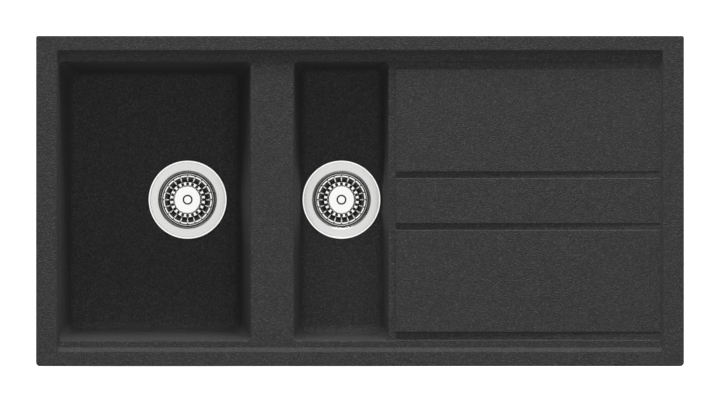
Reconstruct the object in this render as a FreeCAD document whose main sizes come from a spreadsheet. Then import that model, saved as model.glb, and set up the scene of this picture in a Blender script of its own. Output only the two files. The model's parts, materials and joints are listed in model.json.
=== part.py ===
"""Inset kitchen sink: one and a half bowls with a drainer, moulded in granite composite.

Origin: centre of the sink in plan, on the worktop's top face, which is the underside of the rim.
+X runs right along the length, +Y to the rear and +Z up. Sizes are in millimetres.
"""
import FreeCAD, Part
import os
import Sketcher

DOC = FreeCAD.newDocument("kitchen_sink")
SHEET = DOC.addObject("Spreadsheet::Sheet", "Sizes")

# Every driving size: alias, value, what it is.
SIZES = [
    ("sink_length", 1000, "outer length of the rim"),
    ("sink_width", 510, "outer width of the rim"),
    ("rim_height", 9, "rim top above the worktop"),
    ("rim_side", 32, "flat of the rim at the left and right"),
    ("rim_front", 22.3, "flat of the rim at the front and rear"),
    ("rim_edge", 2.5, "rounding of the rim's outer top edge"),
    ("corner_front", 6, "plan radius of the front corners"),
    ("corner_rear", 3, "plan radius of the rear corners"),
    ("seat_width", 12, "overlap of the rim on the worktop"),
    ("recess_depth", 11, "ledges and panels below the rim top"),
    ("recess_slope_side", 3.5, "lean of the recess wall, left and right"),
    ("recess_slope_front", 6.2, "lean of the recess wall, front and rear"),
    ("recess_corner", 5, "plan radius of the recess corners"),
    ("recess_round", 1.6, "roundings of the recess wall, top and foot"),
    ("ledge_width", 11.5, "ledge between recess wall and bowls"),
    ("deck_thickness", 12, "thickness below the ledge level"),
    ("main_length", 295.6, "large bowl, left to right"),
    ("main_depth", 195, "large bowl below the ledge level"),
    ("divider_width", 67.5, "land between the bowls"),
    ("small_length", 146.6, "small bowl, left to right"),
    ("small_depth", 125, "small bowl below the ledge level"),
    ("bowl_draft", 5, "lean of the bowl walls in degrees"),
    ("bowl_wall", 8, "thickness of the bowl walls"),
    ("floor_thickness", 12, "thickness of the bowl floors"),
    ("bowl_corner", 7, "plan radius of the bowl corners at the top"),
    ("bowl_edge", 2.6, "rounding of the bowls' top edges"),
    ("floor_round", 14, "hollow rounding between wall and floor"),
    ("wall_overlap", 0.5, "large bowl's reach into the left recess wall"),
    ("strip_width", 10.4, "low strip between small bowl and panels"),
    ("groove_deep", 5, "groove depth at the bowl end"),
    ("groove_shallow", 1.3, "groove depth at the far end"),
    ("groove_width", 10.5, "width of the two inner grooves"),
    ("outer_groove_width", 12.5, "width of the front and rear grooves"),
    ("middle_panel", 69.5, "width of the panel between the inner grooves"),
    ("groove_flank", 1.0, "lean of the groove walls"),
    ("groove_edge", 0.8, "rounding of the panels' edges"),
    ("rib_width", 8, "stiffening rib under the drainer"),
    ("rib_height", 12, "depth of a rib below the deck"),
    ("rib_pitch", 100, "spacing of the ribs"),
    ("rib_length", 380, "length of a rib, front to rear"),
    ("strip_seal_width", 6, "width of the sealing strip"),
    ("strip_seal_height", 2.5, "height of the sealing strip and its groove"),
    ("drain_from_divider", 96.6, "large bowl's drain from its right edge"),
    ("drain_rearward", 2, "both drains behind the centre line"),
    ("flange_radius", 60.5, "outer radius of the strainer flange"),
    ("flange_recess_gap", 1.5, "sunk seat in the floor, wider than the flange"),
    ("flange_recess_depth", 3, "depth of that seat"),
    ("flange_bead", 3.2, "width of the flange's rolled rim"),
    ("flange_bead_rise", 1.2, "rolled rim above the flange"),
    ("sheet", 1.2, "thickness of the pressed steel"),
    ("gasket_thickness", 1.5, "gasket under the flange"),
    ("gasket_setback", 1, "gaskets back from the edge of the hole"),
    ("gasket_inset", 3, "gasket's edge inside the flange's"),
    ("throat_radius", 42.5, "inside of the cup at its mouth"),
    ("cup_hole_clearance", 1.3, "hole in the bowl floor round the cup"),
    ("throat_round", 3.5, "rounding from flange into cup"),
    ("cup_depth", 28, "seat of the rubber seal below the flange"),
    ("cup_taper", 1.8, "cup narrower at its foot by this radius"),
    ("well_radius", 24.5, "drain well in the cup's foot"),
    ("well_depth", 12, "depth of that well"),
    ("well_hole_radius", 3.2, "drain holes in the well"),
    ("well_hole_count", 8, "number of them"),
    ("seat_gap", 0.3, "rubber seal above its seat"),
    ("seal_thickness", 4, "rubber seal under the basket"),
    ("seal_overlap", 6.5, "seal wider than the well that it closes"),
    ("basket_clearance", 0.5, "basket rim inside the foot of the cup"),
    ("basket_rim_width", 3.8, "width of the basket's rolled rim"),
    ("basket_height", 16, "basket floor to rim top"),
    ("basket_lean", 9.6, "basket floor narrower than its mouth"),
    ("basket_dome_radius", 21.8, "raised disc in the basket floor"),
    ("basket_dome_rise", 4.2, "height of that disc"),
    ("window_count", 20, "windows round the basket wall"),
    ("window_angle", 13.4, "opening angle of one window in degrees"),
    ("window_rise", 0.6, "window's inner edge outside the wall's foot"),
    ("window_drop", 1.8, "window's outer edge inside the mouth"),
    ("notch_width", 1.0, "slit in the rim above each bar"),
    ("drip_hole_radius", 1.7, "small holes round the disc"),
    ("stem_radius", 3.5, "stem under the basket"),
    ("stud_shoulder", 1, "stud for the knob, thinner than the stem"),
    ("stud_length", 6, "length of that stud"),
    ("knob_radius", 7.7, "knob in the middle of the basket"),
    ("knob_height", 11, "knob above the raised disc"),
    ("knob_shoulder", 1.1, "knob's neck wider than the stem"),
    ("seal_nut_radius", 7.5, "nut that holds the rubber seal"),
    ("seal_nut_height", 2.5, "height of that nut"),
    ("screw_radius", 3, "centre screw of the waste"),
    ("socket_wall", 4.35, "wall of the screw's hollow head"),
    ("screw_head_height", 6, "height of the head"),
    ("socket_depth", 4, "socket in the head for the stem"),
    ("slide_clearance", 0.15, "stem in the socket, on the radius"),
    ("screw_clearance", 0.3, "hole round a screw, on the radius"),
    ("thread_clearance", 0.05, "screw in its nut or insert, on the radius"),
    ("waste_gasket_thickness", 3, "gasket between sink and waste body"),
    ("waste_flange_width", 11, "width of the waste body's flange"),
    ("waste_flange_thickness", 5, "thickness of that flange"),
    ("waste_wall", 3.5, "wall of the waste body"),
    ("hub_gap", 3, "cup's foot to the waste body's hub"),
    ("hub_height", 11, "height of the hub"),
    ("hub_wall", 4, "wall of the hub round the nut"),
    ("hub_rib", 3.5, "thickness of the hub's arms"),
    ("hub_arm_count", 3, "number of arms"),
    ("waste_nut_wall", 2.45, "wall of the brass nut in the hub"),
    ("waste_nut_height", 8, "height of that nut"),
    ("waste_cone_height", 12, "cone below the waste bowl"),
    ("outlet_radius", 23.9, "outlet, 1 1/2 inch pipe thread"),
    ("outlet_wall", 3.9, "wall of the outlet"),
    ("outlet_length", 25, "length of the outlet"),
    ("clamp_spacing", 400, "outer clamps from the middle one"),
    ("clamp_spacing_right", 120, "right-hand clamps from the centre line"),
    ("insert_inset", 8.5, "inserts in from the deck's edge"),
    ("insert_wall", 0.95, "wall of a brass insert"),
    ("insert_length", 12, "length of an insert"),
    ("clamp_screw_radius", 2.5, "clamp screw"),
    ("clamp_head_width", 2.25, "head of a clamp screw beyond its shank"),
    ("clamp_head_height", 3.5, "height of that head"),
    ("clamp_slot_width", 1.2, "screwdriver slot"),
    ("clamp_slot_depth", 1.6, "depth of the slot"),
    ("washer_width", 2.9, "width of a clamp washer"),
    ("washer_thickness", 1, "thickness of the washer"),
    ("worktop_thickness", 38, "worktop that the claws are set for"),
    ("claw_sheet", 2, "thickness of a claw"),
    ("claw_width", 10, "width of a claw"),
    ("claw_heel_reach", 8.4, "heel from the screw"),
    ("claw_tip_reach", 22, "tip from the screw"),
    ("claw_tip_height", 6, "tip above the claw's plate"),
    ("claw_clearance", 0.3, "heel below the deck"),
    ("claw_play", 0.1, "claw above its washer, and round its screw"),
]


def fill_sheet():
    """Write each size as a plain number with its alias."""
    for row, (alias, value, words) in enumerate(SIZES, start=1):
        SHEET.set(f"A{row}", words)
        SHEET.set(f"B{row}", str(value))
        SHEET.setAlias(f"B{row}", alias)
    DOC.recompute()


def size(expression):
    """Value of an expression on the sheet."""
    return float(SHEET.evalExpression(expression))


# Levels and edges of the moulding, worked out from the sheet.
LEDGE = "(Sizes.rim_height - Sizes.recess_depth)"
DECK_UNDER = f"({LEDGE} - Sizes.deck_thickness)"
RECESS_FOOT_X = "(Sizes.sink_length/2 - Sizes.rim_side - Sizes.recess_slope_side)"
RECESS_FOOT_Y = "(Sizes.sink_width/2 - Sizes.rim_front - Sizes.recess_slope_front)"
BOWL_HALF = f"({RECESS_FOOT_Y} - Sizes.ledge_width)"
MAIN_WEST = f"(-{RECESS_FOOT_X} - Sizes.wall_overlap)"
MAIN_EAST = f"({MAIN_WEST} + Sizes.main_length)"
SMALL_WEST = f"({MAIN_EAST} + Sizes.divider_width)"
SMALL_EAST = f"({SMALL_WEST} + Sizes.small_length)"
PANEL_WEST = f"({SMALL_EAST} + Sizes.strip_width)"
GROOVE_EAST = f"({RECESS_FOOT_X} - Sizes.recess_round)"
STRIP_LEVEL = f"({LEDGE} - Sizes.groove_deep)"
LEAN = "tan(Sizes.bowl_draft)"
FLOOR_CORNER = "(Sizes.floor_round + 2)"
DECK_X = "(Sizes.sink_length/2 - Sizes.seat_width)"
DECK_Y = "(Sizes.sink_width/2 - Sizes.seat_width)"

# Radii of the waste fittings.
HOLE_RADIUS = "(Sizes.throat_radius + Sizes.sheet + Sizes.cup_hole_clearance)"
GASKET_BORE = f"({HOLE_RADIUS} + Sizes.gasket_setback)"
CUP_FOOT_RADIUS = "(Sizes.throat_radius - Sizes.cup_taper)"
SEAL_RADIUS = "(Sizes.well_radius + Sizes.seal_overlap)"
BASKET_RADIUS = f"({CUP_FOOT_RADIUS} - Sizes.basket_clearance)"
BASKET_MOUTH = f"({BASKET_RADIUS} - Sizes.basket_rim_width)"
BASKET_FOOT_RADIUS = f"({BASKET_MOUTH} - Sizes.basket_lean)"
STUD_RADIUS = "(Sizes.stem_radius - Sizes.stud_shoulder)"
SOCKET_RADIUS = "(Sizes.stem_radius + Sizes.slide_clearance)"
SCREW_HEAD_RADIUS = f"({SOCKET_RADIUS} + Sizes.socket_wall)"
WASTE_FLANGE_RADIUS = f"({GASKET_BORE} + Sizes.waste_flange_width)"
WASTE_NUT_BORE = "(Sizes.screw_radius + Sizes.thread_clearance)"
WASTE_NUT_RADIUS = f"({WASTE_NUT_BORE} + Sizes.waste_nut_wall)"
OUTLET_BORE = "(Sizes.outlet_radius - Sizes.outlet_wall)"

# Levels of the waste fittings, measured from the flange's seat in the bowl floor.
FLANGE_TOP = "(Sizes.gasket_thickness + Sizes.sheet)"
SEAL_SEAT = f"({FLANGE_TOP} - Sizes.cup_depth)"
WELL_FLOOR = f"({SEAL_SEAT} - Sizes.well_depth)"
SEAL_FOOT = f"({SEAL_SEAT} + Sizes.seat_gap)"
BASKET_UNDER = f"({SEAL_FOOT} + Sizes.seal_thickness)"
BASKET_FLOOR = f"({BASKET_UNDER} + Sizes.sheet)"
BASKET_TOP = f"({BASKET_FLOOR} + Sizes.basket_height)"
DOME_TOP = f"({BASKET_FLOOR} + Sizes.basket_dome_rise)"
SCREW_HEAD_TOP = f"({WELL_FLOOR} + Sizes.screw_head_height)"
FLOOR_UNDER = "(Sizes.flange_recess_depth - Sizes.floor_thickness)"
WASTE_TOP = f"({FLOOR_UNDER} - Sizes.waste_gasket_thickness)"
HUB_TOP = f"({WELL_FLOOR} - Sizes.sheet - Sizes.hub_gap)"
HUB_FOOT = f"({HUB_TOP} - Sizes.hub_height)"
WASTE_FOOT = f"({HUB_FOOT} - 1)"
OUTLET_TOP = f"({WASTE_FOOT} - Sizes.waste_cone_height)"
OUTLET_END = f"({OUTLET_TOP} - Sizes.outlet_length)"

# Radii and levels of the clamps, measured from the deck's underside.
INSERT_BORE = "(Sizes.clamp_screw_radius + Sizes.thread_clearance)"
INSERT_RADIUS = f"({INSERT_BORE} + Sizes.insert_wall)"
CLAW_BORE = "(Sizes.clamp_screw_radius + Sizes.claw_play)"
PLATE_FOOT = f"(-Sizes.worktop_thickness - {DECK_UNDER} - Sizes.claw_tip_height - Sizes.claw_sheet)"
WASHER_TOP = f"({PLATE_FOOT} - Sizes.claw_play)"
WASHER_FOOT = f"({WASHER_TOP} - Sizes.washer_thickness)"


def new_body(name):
    """Empty body whose label names its node."""
    body = DOC.addObject("PartDesign::Body", name)
    body.Label = name
    return body


def add_sketch(body, name, plane="XY_Plane", offset="0"):
    """Sketch on one of the body's own planes, lifted along the plane's normal."""
    sketch = body.newObject("Sketcher::SketchObject", name)
    support = next(item for item in body.Origin.OriginFeatures if item.Role == plane)
    sketch.AttachmentSupport = [(support, "")]
    sketch.MapMode = "FlatFace"
    sketch.setExpression("AttachmentOffset.Base.z", offset)
    return sketch


def bind(sketch, constraint, name, expression):
    """Add a named dimension that follows an expression."""
    index = sketch.addConstraint(constraint)
    sketch.renameConstraint(index, name)
    sketch.setExpression(f"Constraints.{name}", expression)


def draw_rounded_rectangle(sketch, tag, west, east, south, north, radii):
    """Four sides and four corner arcs. Radii run from the south-west corner, anticlockwise."""
    x0, x1, y0, y1 = (size(edge) for edge in (west, east, south, north))
    r = [size(radius) for radius in radii]
    middles = [(x0 + r[0], y0 + r[0]), (x1 - r[1], y0 + r[1]), (x1 - r[2], y1 - r[2]), (x0 + r[3], y1 - r[3])]
    up = FreeCAD.Vector(0, 0, 1)
    arcs = []
    for turn, ((x, y), radius) in enumerate(zip(middles, r)):
        start = FreeCAD.Units.Quantity(f"{180 + 90*turn} deg").getValueAs("rad").Value
        stop = FreeCAD.Units.Quantity(f"{270 + 90*turn} deg").getValueAs("rad").Value
        circle = Part.Circle(FreeCAD.Vector(x, y, 0), up, radius)
        arcs.append(sketch.addGeometry(Part.ArcOfCircle(circle, start, stop), False))
    ends = [
        ((x0 + r[0], y0), (x1 - r[1], y0)),
        ((x1, y0 + r[1]), (x1, y1 - r[2])),
        ((x1 - r[2], y1), (x0 + r[3], y1)),
        ((x0, y1 - r[3]), (x0, y0 + r[0])),
    ]
    sides = []
    for (ax, ay), (bx, by) in ends:
        line = Part.LineSegment(FreeCAD.Vector(ax, ay, 0), FreeCAD.Vector(bx, by, 0))
        sides.append(sketch.addGeometry(line, False))
    for turn in range(4):
        following = (turn + 1) % 4
        sketch.addConstraint(Sketcher.Constraint("Tangent", arcs[turn], 2, sides[turn], 1))
        sketch.addConstraint(Sketcher.Constraint("Tangent", sides[turn], 2, arcs[following], 1))
        direction = "Horizontal" if turn % 2 == 0 else "Vertical"
        sketch.addConstraint(Sketcher.Constraint(direction, sides[turn]))
        bind(sketch, Sketcher.Constraint("Radius", arcs[turn], r[turn]), f"{tag}_radius_{turn}", radii[turn])
    bind(sketch, Sketcher.Constraint("DistanceY", sides[0], 1, y0), f"{tag}_south", south)
    bind(sketch, Sketcher.Constraint("DistanceX", sides[1], 1, x1), f"{tag}_east", east)
    bind(sketch, Sketcher.Constraint("DistanceY", sides[2], 1, y1), f"{tag}_north", north)
    bind(sketch, Sketcher.Constraint("DistanceX", sides[3], 1, x0), f"{tag}_west", west)


def draw_polygon(sketch, tag, corners):
    """Closed outline through corners, each a pair of expressions."""
    points = [FreeCAD.Vector(size(x), size(y), 0) for x, y in corners]
    count = len(points)
    lines = []
    for index, point in enumerate(points):
        following = points[(index + 1) % count]
        lines.append(sketch.addGeometry(Part.LineSegment(point, following), False))
    for index, line in enumerate(lines):
        following = lines[(index + 1) % count]
        sketch.addConstraint(Sketcher.Constraint("Coincident", line, 2, following, 1))
    for index, (x, y) in enumerate(corners):
        line, point = lines[index], points[index]
        if x == "0":
            sketch.addConstraint(Sketcher.Constraint("PointOnObject", line, 1, -2))
        else:
            bind(sketch, Sketcher.Constraint("DistanceX", line, 1, point.x), f"{tag}_x_{index}", x)
        if y == "0":
            sketch.addConstraint(Sketcher.Constraint("PointOnObject", line, 1, -1))
        else:
            bind(sketch, Sketcher.Constraint("DistanceY", line, 1, point.y), f"{tag}_y_{index}", y)


def draw_circle(sketch, tag, x, y, radius):
    """Circle whose centre and radius are expressions."""
    middle = FreeCAD.Vector(size(x), size(y), 0)
    circle = sketch.addGeometry(Part.Circle(middle, FreeCAD.Vector(0, 0, 1), size(radius)), False)
    bind(sketch, Sketcher.Constraint("Radius", circle, size(radius)), f"{tag}_radius", radius)
    if x == "0":
        sketch.addConstraint(Sketcher.Constraint("PointOnObject", circle, 3, -2))
    else:
        bind(sketch, Sketcher.Constraint("DistanceX", circle, 3, middle.x), f"{tag}_x", x)
    if y == "0":
        sketch.addConstraint(Sketcher.Constraint("PointOnObject", circle, 3, -1))
    else:
        bind(sketch, Sketcher.Constraint("DistanceY", circle, 3, middle.y), f"{tag}_y", y)


def extrude(body, kind, name, sketch, length, reverse=False, midplane=False):
    """Pad or pocket of a sketch. A cut that leaves every face as it was is an error."""
    before = len(body.Tip.Shape.Faces) if kind == "Pocket" else 0
    feature = body.newObject(f"PartDesign::{kind}", name)
    feature.Refine = False
    feature.Profile = sketch
    feature.setExpression("Length", length)
    feature.Reversed = reverse
    feature.Midplane = midplane
    DOC.recompute()
    if kind == "Pocket" and len(feature.Shape.Faces) == before:
        raise RuntimeError(f"{name} cuts nothing")
    return feature


def loft(body, kind, name, sketches):
    """Ruled loft, added to the body or cut from it."""
    feature = body.newObject(f"PartDesign::{kind}Loft", name)
    feature.Refine = False
    feature.Profile = sketches[0]
    feature.Sections = sketches[1:]
    feature.Ruled = True
    DOC.recompute()
    return feature


def fillet(body, name, wanted, radius):
    """Round the edges of the body's last feature that pass a test."""
    base = body.Tip
    edges = [f"Edge{index}" for index, edge in enumerate(base.Shape.Edges, start=1) if wanted(edge)]
    if not edges:
        raise RuntimeError(f"{name} finds no edge")
    feature = body.newObject("PartDesign::Fillet", name)
    feature.Base = (base, edges)
    feature.setExpression("Radius", radius)
    DOC.recompute()
    return feature


def edge_lies_at(edge, level, half_x, half_y, middle_x=0.0):
    """True if the whole edge is at one level and inside a rectangle in plan."""
    box = edge.BoundBox
    flat = abs(box.ZMin - level) < 0.01 and abs(box.ZMax - level) < 0.01
    near = abs(box.XMin - middle_x) <= half_x and abs(box.XMax - middle_x) <= half_x
    return flat and near and abs(box.YMin) <= half_y and abs(box.YMax) <= half_y


def revolve(body, name, corners, rounds=()):
    """Solid of revolution about Z from a profile of (radius, height), with rounded rings."""
    sketch = add_sketch(body, f"{name}_profile", "XZ_Plane")
    draw_polygon(sketch, "ring", corners)
    feature = body.newObject("PartDesign::Revolution", f"{name}_turn")
    feature.Profile = sketch
    feature.ReferenceAxis = (sketch, ["V_Axis"])
    feature.Angle = 360
    DOC.recompute()
    for number, (radius, height, rounding) in enumerate(rounds):
        ring_radius, ring_height = size(radius), size(height)

        def is_ring(edge):
            curve = edge.Curve
            if not isinstance(curve, Part.Circle) or abs(curve.Radius - ring_radius) > 0.01:
                return False
            return abs(curve.Center.z - ring_height) < 0.01

        fillet(body, f"{name}_round_{number}", is_ring, rounding)


def pattern_round(body, name, feature, count):
    """Repeat a feature evenly round Z."""
    pattern = body.newObject("PartDesign::PolarPattern", name)
    pattern.Refine = False
    pattern.Originals = [feature]
    axis = next(item for item in body.Origin.OriginFeatures if item.Role == "Z_Axis")
    pattern.Axis = (axis, [""])
    pattern.Angle = 360
    pattern.setExpression("Occurrences", count)
    body.Tip = pattern
    DOC.recompute()
    return pattern


def place(body, x, y, z, turn=0):
    """Stand a body at a point given by expressions, turned about Z by whole degrees."""
    body.Placement.Rotation = FreeCAD.Rotation(FreeCAD.Vector(0, 0, 1), turn)
    body.setExpression("Placement.Base.x", x)
    body.setExpression("Placement.Base.y", y)
    body.setExpression("Placement.Base.z", z)


def group(name, master, spots):
    """Node of like pieces: a copy of the master solid at each spot."""
    DOC.recompute()
    copies = []
    for x, y, z in spots:
        copy = master.Shape.copy()
        copy.Placement = FreeCAD.Placement(FreeCAD.Vector(size(x), size(y), size(z)), FreeCAD.Rotation())
        copies.append(copy)
    node = DOC.addObject("Part::Feature", name)
    node.Shape = Part.makeCompound(copies)
    node.Label = name
    return node


# ---------------------------------------------------------------- the moulding

def rim_and_deck(body):
    """Flat rim that lies on the worktop, and the deck that drops into the cut-out."""
    radii = ["Sizes.corner_front", "Sizes.corner_front", "Sizes.corner_rear", "Sizes.corner_rear"]
    outline = add_sketch(body, "rim_outline")
    half_x, half_y = "Sizes.sink_length/2", "Sizes.sink_width/2"
    draw_rounded_rectangle(outline, "rim", f"-{half_x}", half_x, f"-{half_y}", half_y, radii)
    extrude(body, "Pad", "rim", outline, "Sizes.rim_height")
    top = size("Sizes.rim_height")
    reach_x, reach_y = size(half_x) + 1, size(half_y) + 1
    fillet(
        body, "rim_edge_round", lambda edge: edge_lies_at(edge, top, reach_x, reach_y),
        "min(Sizes.rim_edge; min(Sizes.corner_rear; Sizes.corner_front) - 0.3)",
    )
    deck = add_sketch(body, "deck_outline")
    draw_rounded_rectangle(deck, "deck", f"-{DECK_X}", DECK_X, f"-{DECK_Y}", DECK_Y, ["Sizes.corner_front"]*4)
    extrude(body, "Pad", "deck", deck, f"-{DECK_UNDER}", reverse=True)


def recess(body):
    """Shallow tray inside the rim, with leaning walls."""
    sketches = []
    sections = [(LEDGE, "0", "0"), ("Sizes.rim_height", "1", "1")]
    for number, (level, share_x, share_y) in enumerate(sections):
        sketch = add_sketch(body, f"recess_section_{number}", offset=level)
        half_x = f"({RECESS_FOOT_X} + {share_x}*Sizes.recess_slope_side)"
        half_y = f"({RECESS_FOOT_Y} + {share_y}*Sizes.recess_slope_front)"
        corners = ["Sizes.recess_corner"]*4
        draw_rounded_rectangle(sketch, "tray", f"-{half_x}", half_x, f"-{half_y}", half_y, corners)
        sketches.append(sketch)
    loft(body, "Subtractive", "recess", sketches)
    top, ledge = size("Sizes.rim_height"), size(LEDGE)
    inner_x = size("Sizes.sink_length/2 - Sizes.rim_side") + 1
    inner_y = size("Sizes.sink_width/2 - Sizes.rim_front") + 1
    fillet(
        body, "recess_edge_round",
        lambda edge: edge_lies_at(edge, top, inner_x, inner_y) or edge_lies_at(edge, ledge, inner_x, inner_y),
        "Sizes.recess_round",
    )


def bowl_outside(body, name, west, east, depth):
    """Tapered shell outside a bowl, hanging from the deck."""
    sketches = []
    top_depth = "(Sizes.deck_thickness - 2)"
    foot_depth = f"({depth} + Sizes.floor_thickness)"
    sections = [(top_depth, "Sizes.bowl_corner"), (foot_depth, FLOOR_CORNER)]
    for number, (down, corner) in enumerate(sections):
        inset = f"({down}*{LEAN} - Sizes.bowl_wall)"
        sketch = add_sketch(body, f"{name}_outside_{number}", offset=f"{LEDGE} - {down}")
        draw_rounded_rectangle(
            sketch, "shell", f"({west} + {inset})", f"({east} - {inset})",
            f"(-{BOWL_HALF} + {inset})", f"({BOWL_HALF} - {inset})", [f"({corner} + Sizes.bowl_wall)"]*4,
        )
        sketches.append(sketch)
    loft(body, "Additive", f"{name}_outside", sketches)
    level = size(f"{LEDGE} - {foot_depth}")
    middle, reach_x = size(f"({west} + {east})/2"), size(f"({east} - {west})/2 + Sizes.bowl_wall")
    reach_y = size(f"{BOWL_HALF} + Sizes.bowl_wall")
    fillet(
        body, f"{name}_outside_round", lambda edge: edge_lies_at(edge, level, reach_x, reach_y, middle),
        "(Sizes.floor_round + Sizes.bowl_wall)",
    )


def bowl_inside(body, name, west, east, depth, round_west, round_east):
    """Bowl cavity with leaning walls. Its top edge is rounded where a ledge meets it."""
    sketches = []
    sections = [(f"(-{LIFT})", "1", "Sizes.bowl_corner")]
    for angle in (90, 60, 30, 0):
        sections.append((f"(Sizes.bowl_edge*(1 - sin({angle})))", f"(1 - cos({angle}))", "Sizes.bowl_corner"))
    sections.append((depth, "0", FLOOR_CORNER))
    for number, (down, share, corner) in enumerate(sections):
        inset = f"(max({down}; 0)*{LEAN})"
        grow = f"({share}*Sizes.bowl_edge)"
        sketch = add_sketch(body, f"{name}_inside_{number}", offset=f"{LEDGE} - {down}")
        draw_rounded_rectangle(
            sketch, "cavity",
            f"({west} + {inset} - {round_west}*{grow})", f"({east} - {inset} + {round_east}*{grow})",
            f"(-{BOWL_HALF} + {inset} - {grow})", f"({BOWL_HALF} - {inset} + {grow})",
            [f"({corner} + {grow})"]*4,
        )
        sketches.append(sketch)
    loft(body, "Subtractive", f"{name}_inside", sketches)
    level = size(f"{LEDGE} - {depth}")
    middle, reach_x = size(f"({west} + {east})/2"), size(f"({east} - {west})/2")
    reach_y = size(BOWL_HALF)
    fillet(
        body, f"{name}_floor_round", lambda edge: edge_lies_at(edge, level, reach_x, reach_y, middle),
        "Sizes.floor_round",
    )


# Height that a cutter reaches above the surface it opens.
LIFT = "3"


def strip(body):
    """Low strip between the small bowl and the panels, where the grooves drain."""
    sketches = []
    sections = [(f"(-{LIFT})", "1")]
    for angle in (90, 60, 30, 0):
        sections.append((f"(Sizes.bowl_edge*(1 - sin({angle})))", f"(1 - cos({angle}))"))
    sections.append(("Sizes.groove_deep", "0"))
    west = f"({SMALL_EAST} - Sizes.bowl_corner)"
    for number, (down, share) in enumerate(sections):
        inset = f"(max({down}; 0)*{LEAN})"
        grow = f"({share}*Sizes.bowl_edge)"
        sketch = add_sketch(body, f"strip_section_{number}", offset=f"{LEDGE} - {down}")
        edge_y = f"({BOWL_HALF} - {inset} + {grow})"
        draw_polygon(sketch, "strip", [
            (west, f"-{edge_y}"), (PANEL_WEST, f"-{edge_y}"), (PANEL_WEST, edge_y), (west, edge_y),
        ])
        sketches.append(sketch)
    loft(body, "Subtractive", "strip", sketches)


def groove(body, name, south, north):
    """Drainer groove that gets deeper towards the bowls, with leaning walls and rounded edges."""
    sketches = []
    ends = [(f"({PANEL_WEST} - 1)", "Sizes.groove_deep"), (GROOVE_EAST, "Sizes.groove_shallow")]
    for number, (x, depth) in enumerate(ends):
        sketch = add_sketch(body, f"{name}_section_{number}", "YZ_Plane", x)
        lean = "Sizes.groove_flank"
        corners = [
            (f"({south} + {lean})", f"({LEDGE} - {depth})"),
            (f"({north} - {lean})", f"({LEDGE} - {depth})"),
            (north, f"({LEDGE} - Sizes.groove_edge)"),
            (f"({north} + Sizes.groove_edge)", LEDGE),
            (f"({north} + Sizes.groove_edge)", f"({LEDGE} + {LIFT})"),
            (f"({south} - Sizes.groove_edge)", f"({LEDGE} + {LIFT})"),
            (f"({south} - Sizes.groove_edge)", LEDGE),
            (south, f"({LEDGE} - Sizes.groove_edge)"),
        ]
        draw_polygon(sketch, "groove", corners)
        sketches.append(sketch)
    loft(body, "Subtractive", name, sketches)


def grooves(body):
    """Two inner grooves round the middle panel, and one along each ledge."""
    inner = "(Sizes.middle_panel/2)"
    outer = f"({inner} + Sizes.groove_width)"
    groove(body, "front_inner_groove", f"-{outer}", f"-{inner}")
    groove(body, "rear_inner_groove", inner, outer)
    groove(body, "front_outer_groove", f"-{BOWL_HALF}", f"(-{BOWL_HALF} + Sizes.outer_groove_width)")
    groove(body, "rear_outer_groove", f"({BOWL_HALF} - Sizes.outer_groove_width)", BOWL_HALF)


def flange_way(body, name, x, depth):
    """Way down for the flange past the walls' hollow foot, where a bowl is narrow."""
    way = add_sketch(body, f"{name}_way_outline", offset=f"{LEDGE} - {depth}")
    radius = "(Sizes.flange_radius + Sizes.flange_recess_gap + 0.6*Sizes.flange_recess_depth)"
    draw_circle(way, "way", x, "Sizes.drain_rearward", radius)
    extrude(body, "Pocket", f"{name}_way", way, "2*Sizes.floor_round", reverse=True)


def drain_opening(body, name, x, depth):
    """Hole through a bowl floor, and the sunk seat round it."""
    level = f"({LEDGE} - {depth})"
    seat = add_sketch(body, f"{name}_seat_outline", offset=f"{level} + {LIFT}")
    radius = "(Sizes.flange_radius + Sizes.flange_recess_gap)"
    draw_circle(seat, "seat", x, "Sizes.drain_rearward", radius)
    extrude(body, "Pocket", f"{name}_seat", seat, f"{LIFT} + Sizes.flange_recess_depth")
    floor_level, seat_radius = size(level), size(radius)

    def is_seat_edge(edge):
        curve = edge.Curve
        if not isinstance(curve, Part.Circle) or abs(curve.Radius - seat_radius) > 0.01:
            return False
        return abs(curve.Center.z - floor_level) < 0.01

    fillet(body, f"{name}_seat_round", is_seat_edge, "Sizes.flange_recess_depth/2")
    hole = add_sketch(body, f"{name}_hole_outline", offset=f"{level} + {LIFT}")
    draw_circle(hole, "hole", x, "Sizes.drain_rearward", HOLE_RADIUS)
    extrude(body, "Pocket", f"{name}_hole", hole, f"2*{LIFT} + Sizes.floor_thickness")


def underside(body):
    """Ribs under the drainer, blind holes for the inserts and the groove for the sealing strip."""
    ribs = add_sketch(body, "rib_outlines", offset=f"{DECK_UNDER} + 1")
    middle = f"(({PANEL_WEST} + {RECESS_FOOT_X})/2)"
    for number, steps in enumerate((-1, 0, 1)):
        x = f"({middle} + {steps}*Sizes.rib_pitch)"
        west, east = f"({x} - Sizes.rib_width/2)", f"({x} + Sizes.rib_width/2)"
        south, north = "(-Sizes.rib_length/2)", "(Sizes.rib_length/2)"
        draw_polygon(ribs, f"rib_{number}", [(west, south), (east, south), (east, north), (west, north)])
    extrude(body, "Pad", "drainer_ribs", ribs, "Sizes.rib_height + 1", reverse=True)
    holes = add_sketch(body, "insert_holes_outline", offset=f"{DECK_UNDER} - 1")
    for number, (_, x, y, _) in enumerate(CLAMPS):
        draw_circle(holes, f"insert_{number}", x, y, INSERT_RADIUS)
    extrude(body, "Pocket", "insert_holes", holes, "Sizes.insert_length + 1", reverse=True)
    outline = add_sketch(body, "strip_groove_outline", offset="-1")
    draw_seal_ring(outline)
    extrude(body, "Pocket", "strip_groove", outline, "Sizes.strip_seal_height + 1", reverse=True)


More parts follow.
